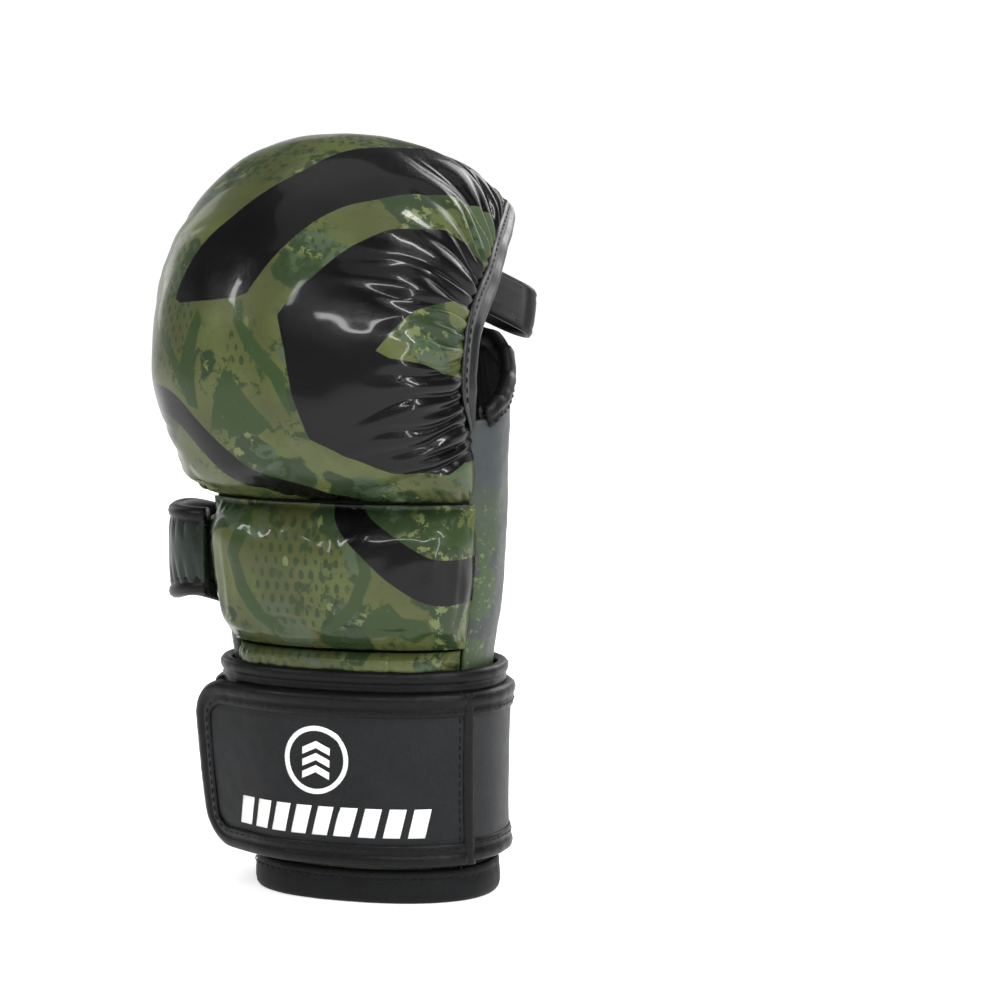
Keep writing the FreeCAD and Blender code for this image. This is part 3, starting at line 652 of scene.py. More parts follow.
def white_print():
    m = Mat("white_print")
    col = m.mix(m.noise(0.4, 3, 0.6), "#dededa", "#f1f1ee")
    gone = m.step(m.noise(1.4, 4, 0.7), 0.75, 0.02)
    col = m.mix(m.math("MULTIPLY", gone, 0.4), col, "#8f8f8d")
    return m.done(col, m.math("ADD", 0.36, m.math("MULTIPLY", m.noise(0.5, 2, 0.5), 0.12)), m.bump(leather_height(m), 0.012))


def fastener(name, hooks):
    m = Mat(name)
    c = m.cells(1.1 if hooks else 0.8, rand=0.35 if hooks else 1.0)
    h = m.math("SUBTRACT", 1.0, c)
    h = m.math("ADD", h, m.math("MULTIPLY", m.noise(3.0, 3, 0.7), 0.5))
    col = m.mix(m.step(c, 0.35, 0.2), "#2c2c2e", "#141415")
    return m.done(col, 0.8, m.bump(h, 0.3), sheen=0.2 if hooks else 0.6)


M_PAD = printed_leather("printed_knuckle", "pad")
M_BACK = printed_leather("printed_back", "back", 2.6)
M_WRIST = printed_leather("printed_wrist", "plain", 5.1)
M_STRAP = dark_leather("strap_leather", "#191a1c", "#141516", "#2c2d30", 0.50, 0.036, spec=0.16)
M_STRAP_DEEP = dark_leather("strap_inner_leather", "#101112", "#0b0b0c", "#232427", 0.54, 0.034, spec=0.12)
M_SIDE = dark_leather("strap_side_leather", "#1e1f21", "#17181a", "#36373a", 0.46, 0.035, spec=0.22)
M_BIND = dark_leather("binding", "#09090a", "#060607", "#1b1c1e", 0.36, 0.05, coat=0.06, fine=0.8, spec=0.12)
M_RIM = dark_leather("rim_binding", "#0e0f10", "#090a0a", "#232426", 0.33, 0.045, coat=0.20, fine=0.8, spec=0.28)
M_LOOP = dark_leather("loop_leather", "#161719", "#0f1011", "#2e2f32", 0.44, 0.03, coat=0.05, spec=0.22)
# near-black leather for the strip in the crease between the pads: its darkness is painted shade of the groove
M_CREASE_SHADE = dark_leather("crease_shade_leather", "#12160e", "#0a0c08", "#1c2214", 0.7, 0.02, spec=0.08)
M_PALM = palm_leather()
M_GUSSET = gusset_leather()
M_LINING = textile("lining", "#17181a", "#0b0b0c")
M_LINING_W = textile("lining_wrist", "#151618", "#09090a", 1.1, 0.14)
M_FOAM = foam_mat()
M_THREAD = thread_mat()
M_PRINT = white_print()
M_HOOK = fastener("hook_field", True)
M_PILE = fastener("loop_field", False)
M_THUMB = dark_leather("thumb_leather", "#17231a", "#0c100d", "#2c3a28", 0.30, 0.02, coat=0.15, spec=0.18)
PALM_SET = [M_PALM, M_LINING]

def cloth_swell(pts, nu, nv, pressure, cap, loose=0.06, frames=20):
    """Cloth simulation of a pad's cover: its border is sewn down, its inside is blown up a little and cut a little too
    large, so it swells and gathers. Returns the movement, in millimetres, on the full grid."""
    n, m = pts.shape[:2]
    iu = np.linspace(0, n - 1, nu)
    iv = np.linspace(0, m - 1, nv)
    a, b = np.round(iu).astype(int), np.round(iv).astype(int)
    low = pts[np.ix_(a, b)]
    me = bpy.data.meshes.new("cloth_work")
    f = quads(nu, nv)
    nrm = grid_normals(low)
    if ((low - low.mean((0, 1))) * nrm).sum(-1).mean() < 0:
        f = f[:, ::-1]
    me.from_pydata((low.reshape(-1, 3) * MM).tolist(), [], f.tolist())
    me.update()
    o = bpy.data.objects.new("cloth_work", me)
    bpy.context.scene.collection.objects.link(o)
    g = o.vertex_groups.new(name="pin")
    edge = [i * nv + j for i in range(nu) for j in range(nv) if i in (0, nu - 1) or j in (0, nv - 1)]
    g.add(edge, 1.0, "REPLACE")
    c = o.modifiers.new("cloth", "CLOTH")
    st = c.settings
    st.quality = 6
    st.mass = 0.2
    st.tension_stiffness = st.compression_stiffness = 12
    st.shear_stiffness = 4
    st.bending_stiffness = 0.05
    st.vertex_group_mass = "pin"
    st.use_pressure = True
    st.uniform_pressure_force = pressure
    st.shrink_min = -loose
    st.effector_weights.gravity = 0.0
    c.collision_settings.use_collision = False
    c.point_cache.frame_start = 1
    c.point_cache.frame_end = frames
    sc = bpy.context.scene
    for fr in range(1, frames + 1):
        sc.frame_set(fr)
    dg = bpy.context.evaluated_depsgraph_get()
    ev = o.evaluated_get(dg)
    co = np.zeros(len(ev.data.vertices) * 3)
    ev.data.vertices.foreach_get("co", co)
    move = co.reshape(nu, nv, 3) / MM - low
    bpy.data.objects.remove(o)
    sc.frame_set(1)
    ln = np.linalg.norm(move, axis=-1, keepdims=True)
    move = move * np.minimum(1.0, cap / np.maximum(ln, 1e-9))
    # spread over the full grid
    u = np.arange(n)
    v = np.arange(m)
    step1 = np.stack([[np.interp(u, a, move[:, j, c_]) for j in range(nv)] for c_ in range(3)], 0)      # 3, nv, n
    out = np.zeros((n, m, 3))
    for c_ in range(3):
        for i in range(n):
            out[i, :, c_] = np.interp(v, b, step1[c_, :, i])
    k = np.array([1, 4, 6, 4, 1]) / 16.0
    for _ in range(7):
        for ax in (0, 1):
            q = np.concatenate([np.repeat(np.take(out, [0], ax), 2, ax), out, np.repeat(np.take(out, [-1], ax), 2, ax)], ax)
            out = sum(w * np.take(q, np.arange(i, i + out.shape[ax]), ax) for i, w in enumerate(k))
    print("cloth_swell: moved up to %.2f mm, mean %.2f mm" % (float(np.minimum(ln, cap).max()), float(np.minimum(ln, cap).mean())))
    return out


# ------------------------------------------------------------------ knuckle pad
NT, NV = ((330, 350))


def seg_dist(px, py, poly, closed=True):
    """Signed distance (inside negative) to a polygon."""
    q = np.asarray(poly, float)
    r = np.roll(q, -1, 0)
    best = np.full(px.shape, 1e9)
    inside = np.zeros(px.shape, bool)
    for (x0, y0), (x1, y1) in zip(q, r):
        dx, dy = x1 - x0, y1 - y0
        t = np.clip(((px - x0) * dx + (py - y0) * dy) / (dx * dx + dy * dy + 1e-12), 0, 1)
        best = np.minimum(best, np.hypot(px - x0 - t * dx, py - y0 - t * dy))
        hit = ((y0 > py) != (y1 > py)) & (px < (x1 - x0) * (py - y0) / (y1 - y0 + 1e-12) + x0)
        inside ^= hit
    return np.where(inside, -best, best)


def rounded(poly, n=2):
    """Corner-cut smoothing of a polygon, keeping its shape."""
    p = np.asarray(poly, float)
    for _ in range(n):
        q = np.roll(p, -1, 0)
        p = np.stack([p * 0.8 + q * 0.2, p * 0.2 + q * 0.8], 1).reshape(-1, 2)
    return p


BAND_A = [(-43.1, 80.9), (-39.5, 90.5), (-34.8, 98.4), (-28.5, 105.6), (-21.1, 112), (-12.5, 121.5), (-4.2, 130.4), (5.3, 144.1),
          (16.1, 154.1), (28.8, 169.7), (42, 184), (54, 203), (95, 203), (95, 174), (65.6, 172), (53.3, 150.2), (46.5, 141), (39.1, 133.2),
          (28, 124.5), (16.9, 116.3), (9.5, 109.5), (3, 101.9), (-3, 94), (-7.7, 86.4), (-11.8, 79.5), (-27, 79.2)]
BLOCK = [(0, 73.6), (5.5, 81.5), (11.6, 88.1), (21.5, 100.5), (32.8, 110.1), (50.2, 121), (69.7, 128), (80, 134), (95, 136), (95, 26),
         (60.5, 24), (50.3, 18.4), (41, 17.8), (30.8, 19.5), (17.5, 26.3), (7.4, 32.9), (4, 47.9), (2.6, 62.1)]
NOTCH = [(32.1, 63.7), (43.1, 79), (59.7, 90.9), (95, 98), (95, 56), (57.5, 58.9), (48.5, 61.1), (36.5, 61.6)]
SWOOP = [(-95, 66), (-75, 60), (-58, 53), (-48, 50.5), (-39.8, 46.1), (-30, 35.5), (-20.5, 24.9), (-13, 17.5), (-5.2, 11.5), (4.5, 6.2), (16, -2),
         (16, -9), (0, -4), (-7, 1.0), (-15, 6.5), (-26, 17.0), (-36, 29.0), (-44, 38.0), (-60, 44.5), (-75, 50), (-95, 55)]
STROKES = [
    [(-30.6, 77.1), (-28.2, 73.3), (-31.4, 58.3), (-31.6, 42.4), (-36, 44.0), (-43.1, 59.6), (-51.1, 69.1), (-46.4, 70.2), (-38.4, 58.5), (-34.9, 67.8)],
    [(-12.4, 78.8), (-11.8, 71.5), (-3.6, 61.4), (1.9, 55.1), (2.8, 39.2), (0.0, 45.9), (-2.7, 52.9), (-10.3, 61.9), (-15.3, 71.2), (-15.6, 78.6)],
    [(-18.9, 56.7), (-17.2, 54.6), (-16.4, 56.0), (-15.6, 52.6), (-11, 45.6), (-4.7, 38.1), (-7, 36.0), (-10.4, 33.9), (-14, 35.5), (-18.2, 32.9), (-22, 36.0), (-27.9, 35.4), (-25.8, 42), (-23.5, 47.9)],
]
BACK_STROKES = [
    [(-29, 133), (-25, 127), (-30, 117), (-27, 108), (-21, 99), (-14, 93), (-17, 91), (-25, 96), (-32, 106), (-35, 117), (-31, 127)],
    [(8, 131), (11, 124), (13, 114), (9, 104), (1, 95), (-4, 92), (4, 93), (12, 101), (17, 112), (16, 122), (12, 131)],
    [(16, 101), (22, 104), (26, 99), (33, 98), (36, 93), (30, 89), (22, 91), (14, 90), (12, 95)],
    [(36, 130), (42, 127), (50, 128), (58, 124), (58, 120), (48, 121), (40, 122), (33, 126)],
    [(-50, 124), (-44, 118), (-46, 108), (-40, 98), (-46, 95), (-53, 104), (-54, 116)],
]
BACK_SWOOP = [(0, 136), (4, 128.6), (9.9, 122.6), (20.5, 111.6), (31.3, 104.2), (38.6, 102.4), (49.3, 102.6), (70, 102), (70, 118), (49.1, 117.1),
              (37.2, 117.1), (28.2, 122.1), (12.5, 132.6), (10, 136)]


def pad_grid():
    tt = np.linspace(-90, 90, 1441)
    ref = hood(tt, np.full_like(tt, 4.6), 1.0)
    arc = np.concatenate([[0], np.cumsum(np.linalg.norm(np.diff(ref, axis=0), axis=1))])
    th = np.interp(np.linspace(0, arc[-1], NT), arc, tt)
    vv = np.linspace(0, 10, 1601)
    ref = hood(np.zeros_like(vv), vv, 1.0)
    arc = np.concatenate([[0], np.cumsum(np.linalg.norm(np.diff(ref, axis=0), axis=1))])
    v = np.interp(np.linspace(0, arc[-1], NV), arc, vv)
    return th, v, np.interp(v, vv, arc)


TH, VS, SPINE = pad_grid()
T2, V2 = np.meshgrid(TH, VS, indexing="ij")
BASE = hood(T2, V2, 1.0)
step_u = np.linalg.norm(np.diff(BASE, axis=0), axis=-1)
UU = np.concatenate([np.zeros((1, NV)), np.cumsum(step_u, 0)])
mid = np.array([np.interp(0.0, TH, UU[:, j]) for j in range(NV)])
R_L = UU[-1][None] - UU                    # distance to the little-finger rim
R_T = UU                                   # distance to the thumb rim
UC = UU - mid[None]
SS = np.broadcast_to(SPINE, UC.shape)
BN = grid_normals(BASE)
if (BN[NT // 2, NV // 3] * np.array([0, -1, 0])).sum() < 0:
    BN = -BN


def rim_arc(edge):
    p = hood(np.full(NV, edge), VS, 1.0)
    return np.concatenate([[0], np.cumsum(np.linalg.norm(np.diff(p, axis=0), axis=1))])


ARC_L, ARC_T = rim_arc(90.0), rim_arc(-90.0)


def gather(arc, start, end, gap, jitter, width, length, depth, fan, rng):
    """Creases along a seam from arc position start to end."""
    items, s = [], start
    while s < end:
        f = (s - start) / (end - start)
        items.append((s, rng.uniform(*width), rng.uniform(*length), rng.uniform(*depth),
                      fan * (f - 0.42) + rng.uniform(-0.07, 0.07), rng.uniform(0.2, 1.4), rng.uniform(0, 6.28)))
        s += gap * rng.uniform(1 - jitter, 1 + jitter)
    return items


rg = np.random.default_rng(5)
aL = np.broadcast_to(ARC_L, UC.shape)
aT = np.broadcast_to(ARC_T, UC.shape)
main = gather(ARC_L, 20.0, ARC_L[-1] - 1.0, 4.0, 0.26, (0.9, 1.45), (34, 74), (1.9, 3.1), 0.85, rg)
minor = gather(ARC_L, 18.0, ARC_L[-1], 2.3, 0.5, (0.4, 0.75), (10, 30), (0.6, 1.3), 0.8, rg)
DL = (valleys(aL, R_L, main) + 0.55 * valleys(aL, R_L, minor)) * (0.36 + 0.64 * smooth(R_L, 5, 12))
thumbs = gather(ARC_T, 8.0, ARC_T[-1] - 1.0, 6.2, 0.35, (0.8, 1.5), (18, 44), (1.1, 2.3), 0.6, rg)
tminor = gather(ARC_T, 8.0, ARC_T[-1], 3.6, 0.5, (0.5, 0.9), (5, 14), (0.3, 0.8), 0.4, rg)
DT = valleys(aT, R_T, thumbs) + 0.5 * valleys(aT, R_T, tminor)
crease = gather(None, -52.0, 54.0, 6.2, 0.4, (0.8, 1.6), (5, 15), (0.35, 1.0), 0.3, rg)
DC = valleys(UC, SS, crease)
front = gather(None, -52.0, 48.0, 5.2, 0.4, (0.8, 1.5), (12, 30), (0.6, 1.5), 0.25, rg)
DF = valleys(UC, SPINE[-1] - SS, front)
SWELL = 0.7 * noise(BASE / 34.0) + 0.30 * noise(BASE / 13.0 + 9.0)
puff = 2.2 * smooth(R_L, 2, 13) * (1 - smooth(R_L, 22, 60)) * smooth(aL, 18, 40) + 0.35 * (1 - smooth(R_L, 6, 18)) * smooth(aL, 12, 26)
tuck = 0.25 * np.exp(-(R_L / 2.5) ** 2) + 1.1 * np.exp(-(R_T / 3.0) ** 2) + 1.0 * np.exp(-((SPINE[-1] - SS) / 3.0) ** 2) + 0.9 * np.exp(-(SS / 2.0) ** 2)
side_ok = smooth(R_L, 0.0, 2.0)
DISP = SWELL * smooth(np.minimum(np.minimum(R_L, R_T), SS), 3, 22) + puff - DL - DT - DC - DF - tuck
SWELLED = cloth_swell(BASE, 84, 90, 4.0, 1.9)
LOOSE = 0.05 + 0.95 * smooth(R_L, 34, 80)
OUTER = BASE + BN * DISP[..., None] + SWELLED * LOOSE[..., None] - BN * (0.1 + 0.5 * smooth(R_L, 6, 18))[..., None]
INNER = hood(T2, V2, 0.0, 0.15)
UVW = np.stack([UC, SS, np.zeros_like(UC)], -1)
band = seg_dist(UC, SS, rounded(BAND_A, 1))
block = np.maximum(seg_dist(UC, SS, BLOCK), -seg_dist(UC, SS, NOTCH))
swoop = seg_dist(UC, SS, rounded(SWOOP, 2))
black = np.minimum(np.minimum(band, block), swoop)
stroke = np.minimum.reduce([seg_dist(UC, SS, p) for p in STROKES])


def blob(u, s, u0, s0, ru, rs):
    return np.clip(1.3 - np.hypot((u - u0) / ru, (s - s0) / rs), 0, 1)


spots = np.maximum.reduce([blob(UC, SS, 8, 93, 15, 12), blob(UC, SS, -42, 70, 13, 20), blob(UC, SS, 4, 165, 26, 16), blob(UC, SS, -12, 66, 7, 12),
                           blob(UC, SS, -48, 100, 16, 18), blob(UC, SS, -24, 138, 12, 12)])
knuckle = slab("knuckle_pad", OUTER, INNER, [M_PAD, M_LINING], dict(print_place=UVW, black=black, strokes=stroke, spots=spots), 1, 0, "hood")
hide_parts("hood_cover", "hood_outer_foam", "hood_inner_foam")

# lining of the hood
lt = np.linspace(-89.5, 89.5, 90)
lv = np.linspace(0.0, 9.95, 110)
LT, LV = np.meshgrid(lt, lv, indexing="ij")
lo = hood(LT, LV, 0.0, -1.0)
li = hood(LT, LV, 0.0, -2.1)
wob = 0.25 * noise(lo / 11.0)
lin = slab("hood_lining_cloth", lo, li + (lo - li) * wob[..., None], M_LINING, body="hood")
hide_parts("hood_lining")

# ------------------------------------------------------------------ rim binding
def smooth_rows(a, n, closed=False):
    k = np.ones(2 * n + 1) / (2 * n + 1)
    pad = np.concatenate([a[-n:], a, a[:n]]) if closed else np.concatenate([np.repeat(a[:1], n, 0), a, np.repeat(a[-1:], n, 0)])
    return np.stack([np.convolve(pad[:, c], k, "valid") for c in range(a.shape[1])], -1)


def unit(a):
    return a / np.maximum(np.linalg.norm(a, axis=-1, keepdims=True), 1e-9)


def rim_path():
    """Path along the hood's edge with its inward and outward directions: little-finger side, front, thumb side."""
    P, A, B = [], [], []
    e = 0.02
    for v in np.linspace(1.75, 9.8, 190):
        p = hood(90.0, v, 1.0)
        ln = math.radians(look(HX, HT, v)[2])
        P.append(p); A.append([0, -math.cos(ln), math.sin(ln)]); B.append([1, 0, 0])
    for th in np.linspace(82, -82, 150):
        p = hood(th, 10.0, 1.0)
        back = hood(th, 9.9, 1.0) - p
        tan = hood(th + 0.5, 10.0, 1.0) - hood(th - 0.5, 10.0, 1.0)
        n = np.cross(unit(tan), unit(back))
        if n[2] < 0 and abs(th) < 60:
            n = -n
        if abs(th) >= 60:
            q = hood(0.0, 10.0, 0.0)
            if ((p - q) * n).sum() < 0:
                n = -n
        P.append(p); A.append(back); B.append(n)
    for v in np.linspace(9.8, 0.35, 210):
        p = hood(-90.0, v, 1.0)
        ln = math.radians(look(HX, HT, v)[2])
        P.append(p); A.append([0, -math.cos(ln), math.sin(ln)]); B.append([-1, 0, 0])
    P = smooth_rows(np.array(P), 4)
    pts, k, L = resample(P, 0.8)
    idx = np.arange(len(P))
    A, B = unit(np.array(A, float)), unit(np.array(B, float))
    A = np.stack([np.interp(k, idx, A[:, c]) for c in range(3)], -1)
    B = np.stack([np.interp(k, idx, B[:, c]) for c in range(3)], -1)
    A, B = unit(smooth_rows(A, 9)), unit(smooth_rows(B, 9))
    t = unit(np.gradient(pts, axis=0))
    B = unit(B - (B * t).sum(1, keepdims=True) * t)
    A2 = np.cross(B, t)
    A2 *= np.sign((A2 * A).sum(1, keepdims=True))
    return pts, unit(A2), B


RIM_P, RIM_A, RIM_B = rim_path()
pucker = 0.16 * noise(RIM_P / 6.5)[:, None] * RIM_B
RIM_PROFILE = [(6.6, -0.4), (6.7, 0.5), (6.1, 1.0), (4.9, 1.25), (3.2, 1.35), (1.9, 1.15), (1.2, 0.75), (0.7, 1.1), (-0.2, 2.0), (-1.5, 2.45), (-2.9, 2.1),
               (-3.9, 0.9), (-4.2, -1.0), (-4.2, -4.4), (-3.6, -6.6), (-2.2, -7.9), (0.0, -8.2), (3.5, -7.9), (5.0, -7.5), (5.1, -6.9), (0.6, -6.7),
               (-1.0, -5.6), (-1.6, -2.5), (-0.8, -0.5)]
run = np.linspace(0, 0.8 * (len(RIM_P) - 1), len(RIM_P))
taper = 0.32 + 0.68 * smooth(run, -2, 15) * smooth(run[-1] - run, -2, 12)
rim = sweep("hood_rim_binding", RIM_P + pucker, RIM_A, RIM_B, RIM_PROFILE, M_RIM, body="hood", prof_scale=np.stack([taper, taper], -1))
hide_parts("hood_rim_little_side", "hood_rim_thumb_side", "hood_rim_front")
st = stitches("hood_rim_stitches", (RIM_P + RIM_A * 4.9 + RIM_B * 1.2)[14:-14], RIM_B[14:-14], M_THREAD, "hood", 3.3, 2.2, 0.28, 0.05)

# ------------------------------------------------------------------ back pad
NP_, NZ_ = ((220, 120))


def bumpf(t):
    t = np.clip(t, 0, 1)
    return 1 - (2 * t - 1) ** 4


def pad_on_tube(name, p0, p1, z0, z1, height, mat, body, rng_seed, seams=(1, 1, 1, 1), inner_d=0.3, attrs=None, dense=None, soft_cloth=None):
    n, mz = dense or (NP_, NZ_)
    ph = np.linspace(p0, p1, n)
    zz = np.linspace(z0, z1, mz)
    PH, ZZ = np.meshgrid(ph, zz, indexing="ij")
    d = height(PH, ZZ)
    base = tube(PH, ZZ, d)
    u = np.concatenate([np.zeros((1, mz)), np.cumsum(np.linalg.norm(np.diff(base, axis=0), axis=-1), 0)])
    uc = u - u[-1][None] / 2
    nrm = grid_normals(base)
    cen = tube(PH, ZZ, -15.0)
    if ((base - cen) * nrm).sum(-1).mean() < 0:
        nrm = -nrm
    r = np.random.default_rng(rng_seed)
    L = float(u[-1].mean())
    D = 0.45 * noise(base / 17.0 + 3.0) + 0.25 * noise(base / 7.0)
    if seams[0]:
        D = D - valleys(uc, ZZ - z0, gather(None, -L / 2, L / 2, 5.6, 0.45, (0.7, 1.5), (5, 17), (0.4 * seams[0], 1.1 * seams[0]), 0.2, r)) - 0.8 * np.exp(-((ZZ - z0) / 1.8) ** 2)
    if seams[1]:
        D = D - valleys(uc, z1 - ZZ, gather(None, -L / 2, L / 2, 5.6, 0.45, (0.7, 1.5), (5, 15), (0.35 * seams[1], 1.0 * seams[1]), 0.2, r)) - 0.8 * np.exp(-((z1 - ZZ) / 1.8) ** 2)
    if seams[2]:
        D = D - valleys(ZZ, u, gather(None, z0, z1, 5.2, 0.4, (0.7, 1.3), (6, 16), (0.4, 1.0), 0.2, r))
    if seams[3]:
        D = D - valleys(ZZ, u[-1][None] - u, gather(None, z0, z1, 5.0, 0.4, (0.7, 1.3), (8, 20), (0.5, 1.2), 0.3, r))
    D = D * smooth(np.minimum(np.minimum(u, u[-1][None] - u), np.minimum(ZZ - z0, z1 - ZZ)), -0.6, 2.0)
    if soft_cloth:
        keep = (0.12 + 0.88 * smooth(np.minimum(u, u[-1][None] - u), 4, 22)) * (0.35 + 0.65 * smooth(np.minimum(ZZ - z0, z1 - ZZ), 1, 9))
        D = D[..., None] * nrm + cloth_swell(base, *soft_cloth) * keep[..., None]
    else:
        D = D[..., None] * nrm
    outer = base + D
    inner = tube(PH, ZZ, inner_d)
    at = dict(print_place=np.stack([uc, ZZ, np.zeros_like(uc)], -1))
    for k, f in (attrs or {}).items():
        at[k] = f(uc, ZZ)
    return slab(name, outer, inner, [mat, M_LINING], at, 1, 0, body)


def back_h(p, z):
    u = (p - BACK_P0) / (BACK_P1 - BACK_P0)
    w = (z - 85.6) / (133.4 - 85.6)
    return 3.0 + 11.0 * bumpf(w) ** 0.85 * np.minimum(1.0, bumpf(u) * 1.1) * (0.85 + 0.15 * bumpf(u))


back = pad_on_tube("back_pad", -151.5, -27.6, 85.6, 134.4, back_h, M_BACK, "hand", 21,
                   attrs=dict(black=lambda u, z: seg_dist(u, z, rounded(BACK_SWOOP, 2)),
                              strokes=lambda u, z: np.minimum.reduce([seg_dist(u, z, q_) for q_ in BACK_STROKES]),
                              spots=lambda u, z: blob(u, z, -8, 112, 22, 24)), soft_cloth=(60, 34, 4.0, 1.1), seams=(0.5, 0.6, 0.5, 0))
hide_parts("back_pad_foam", "back_pad_cover")


def wrist_h(p, z):
    u = (p - BACK_P0) / (BACK_P1 - BACK_P0)
    e = np.minimum(1.0, bumpf(u) * 1.2)
    body_h = 3.9
    roll = 2.9 * bumpf(np.clip((z - 77.5) / (84.9 - 77.5), 0, 1))
    return 1.4 + (np.where(z < 77.5, body_h, 3.9 + roll) - 1.4) * e * np.where(z > 83.0, 1 - 0.35 * np.clip((z - 83.0) / 1.9, 0, 1) ** 2, 1.0)


wrist = pad_on_tube("wrist_pad", BACK_P0, BACK_P1, 3.0, 84.9, wrist_h, M_WRIST, "cuff", 31, seams=(0, 1, 1, 1), dense=(150, 130))
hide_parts("wrist_pad_foam", "wrist_pad_cover")

# dark strip laid in the crease between the knuckle pad and the back pad; its near-black colour is painted shade in the
# groove
crease_shade_web = pad_on_tube("knuckle_crease_shade_strip", -150.0, -29.0, 129.5, 141.0, lambda p, z: 1.9 + 0 * p, M_CREASE_SHADE, None, 51, seams=(0, 0, 0, 0), inner_d=0.6,
                         attrs=dict(black=lambda u, z: seg_dist(u, z, rounded(BACK_SWOOP, 2)), strokes=lambda u, z: 9.0 + 0 * u,
                                    spots=lambda u, z: 0 * u), dense=(120, 14))
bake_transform(crease_shade_web)

# ------------------------------------------------------------------ panels of the hand shell
def panel(name, fp0, fp1, z0, fz1, d0, d1, mats, body, np_=90, nz=110, tuck_sides=(1, 1, 1, 1), bulge=None, soft=0.35, seed=1):
    t = np.linspace(0, 1, np_)[:, None] * np.ones((1, nz))
    w = np.linspace(0, 1, nz)[None] * np.ones((np_, 1))
    z = z0 + (fz1(fp1(np.full_like(t, z0))) - z0) * w
    for _ in range(8):
        p = fp0(z) + (fp1(z) - fp0(z)) * t
        z = z0 + (fz1(p) - z0) * w
    base = tube(p, z, d1)
    nrm = grid_normals(base)
    if ((base - tube(p, z, -15.0)) * nrm).sum(-1).mean() < 0:
        nrm = -nrm
    du = np.concatenate([np.zeros((1, nz)), np.cumsum(np.linalg.norm(np.diff(base, axis=0), axis=-1), 0)])
    dv = np.concatenate([np.zeros((np_, 1)), np.cumsum(np.linalg.norm(np.diff(base, axis=1), axis=-1), 1)], 1)
    dist = [du, du[-1:] - du, dv, dv[:, -1:] - dv]
    D = soft * noise(base / 15.0 + seed) + 0.4 * soft * noise(base / 5.0 + seed)
    for k, on in zip(dist, tuck_sides):
        if on:
            D = D - 0.9 * on * np.exp(-(k / 1.3) ** 2)
    if bulge is not None:
        D = D + bulge(p, z)
    outer = base + nrm * D[..., None]
    inner = tube(p, z, d0)
    return slab(name, outer, inner, mats, None, 1, 0, body), (p, z, outer, nrm)


CUT_Z = 74.0


def gusset_p0(z):
    return table([(79.0, -25.5), (124.0, -25.5), (138.0, -19.0), (170.0, -19.0)], z)


gusset, _ = panel("side_gusset_panel", lambda z: table([(79.0, -26.6), (124.0, -26.6), (134.0, -31.0), (150.0, -34.0), (170.0, -36.0)], z), lambda z: 24.8 + 0 * z, CUT_Z, palm_top, 0.5, PALM_T,
                  [M_GUSSET, M_LINING], None, 60, 120, (0.6, 1, 0, 0.3), seed=3)
heel, _ = panel("palm_heel", lambda z: 24.8 + 0 * z, lambda z: 208.0 + 0 * z, CUT_Z, lambda p: THUMB_CUT_Z + 0 * p, 0.35, PALM_T, PALM_SET, None, 170, 60,
                (1, 0.6, 0, 0.0), seed=5)
for o, n in ((gusset, "side_gusset"), (heel, "palm_heel_panel")):
    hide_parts(n)
    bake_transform(o)


def grip_bulge(p, z):
    return 0.0 * p


palm, _ = panel("palm_main", lambda z: 24.8 + 0 * z, thumb_edge, THUMB_CUT_Z, palm_top, 0.35, PALM_T, PALM_SET, "hand", 110, 110, (1, 0, 0.0, 0.2), seed=7)
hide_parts("palm_panel")


def pillow_patch(name, p0, p1, z0, z1, node, seed):
    n, mz = 70, 60
    ph = np.linspace(p0, p1, n)[:, None] * np.ones((1, mz))
    zz = np.linspace(z0, z1, mz)[None] * np.ones((n, 1))
    base = tube(ph, zz, PALM_T + 0.2)
    nrm = grid_normals(base)
    if ((base - tube(ph, zz, -15.0)) * nrm).sum(-1).mean() < 0:
        nrm = -nrm
    u = np.concatenate([np.zeros((1, mz)), np.cumsum(np.linalg.norm(np.diff(base, axis=0), axis=-1), 0)])
    e = np.minimum(np.minimum(u, u[-1:] - u), np.minimum(zz - z0, z1 - zz))
    h = 0.9 + 3.1 * (1 - np.exp(-(np.maximum(e - 2.6, 0) / 5.0) ** 1.3)) - 0.5 * np.exp(-((e - 2.4) / 0.9) ** 2)
    h = h * smooth(e, -0.5, 0.7) + 0.35 * noise(base / 9.0 + seed) * smooth(e, 2.5, 7)
    o = slab(name, base + nrm * h[..., None], tube(ph, zz, PALM_T - 0.5), PALM_SET, None, 0, 0, "hand")
    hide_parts(node)
    ring_p = [(p0 + 3.0 * (p1 - p0) / 40, z) for z in np.linspace(z0 + 1.6, z1 - 1.6, 20)] + [(p, z1 - 1.6) for p in np.linspace(p0 + 3, p1 - 3, 20)] \
        + [(p1 - 3.0 * (p1 - p0) / 40, z) for z in np.linspace(z1 - 1.6, z0 + 1.6, 20)] + [(p, z0 + 1.6) for p in np.linspace(p1 - 3, p0 + 3, 20)]
    rp = np.array(ring_p)
    pts = tube(rp[:, 0], rp[:, 1], PALM_T + 0.95)
    nn = unit(pts - tube(rp[:, 0], rp[:, 1], -10.0))
    s = stitches(name + "_stitches", pts, nn, M_THREAD, "hand", 3.2, 2.1, 0.26, 0.0, closed=True)
    return o


pillow_patch("grip_pillow_upper", 37.0, 77.0, 159.2, 182.3, "grip_patch_upper", 2)
pillow_patch("grip_pillow_lower", 37.0, 77.0, 123.7, 158.8, "grip_patch_lower", 4)

# ------------------------------------------------------------------ sewn edge bindings on the tube
def tube_normal(p, z, d):
    e = 0.4
    a = tube(p + e, z, d) - tube(p - e, z, d)
    b = tube(p, z + e, d) - tube(p, z - e, d)
    n = np.cross(a, b)
    n = unit(n)
    c = tube(p, z, d) - tube(p, z, -20.0)
    return n * np.sign((n * c).sum(-1, keepdims=True))


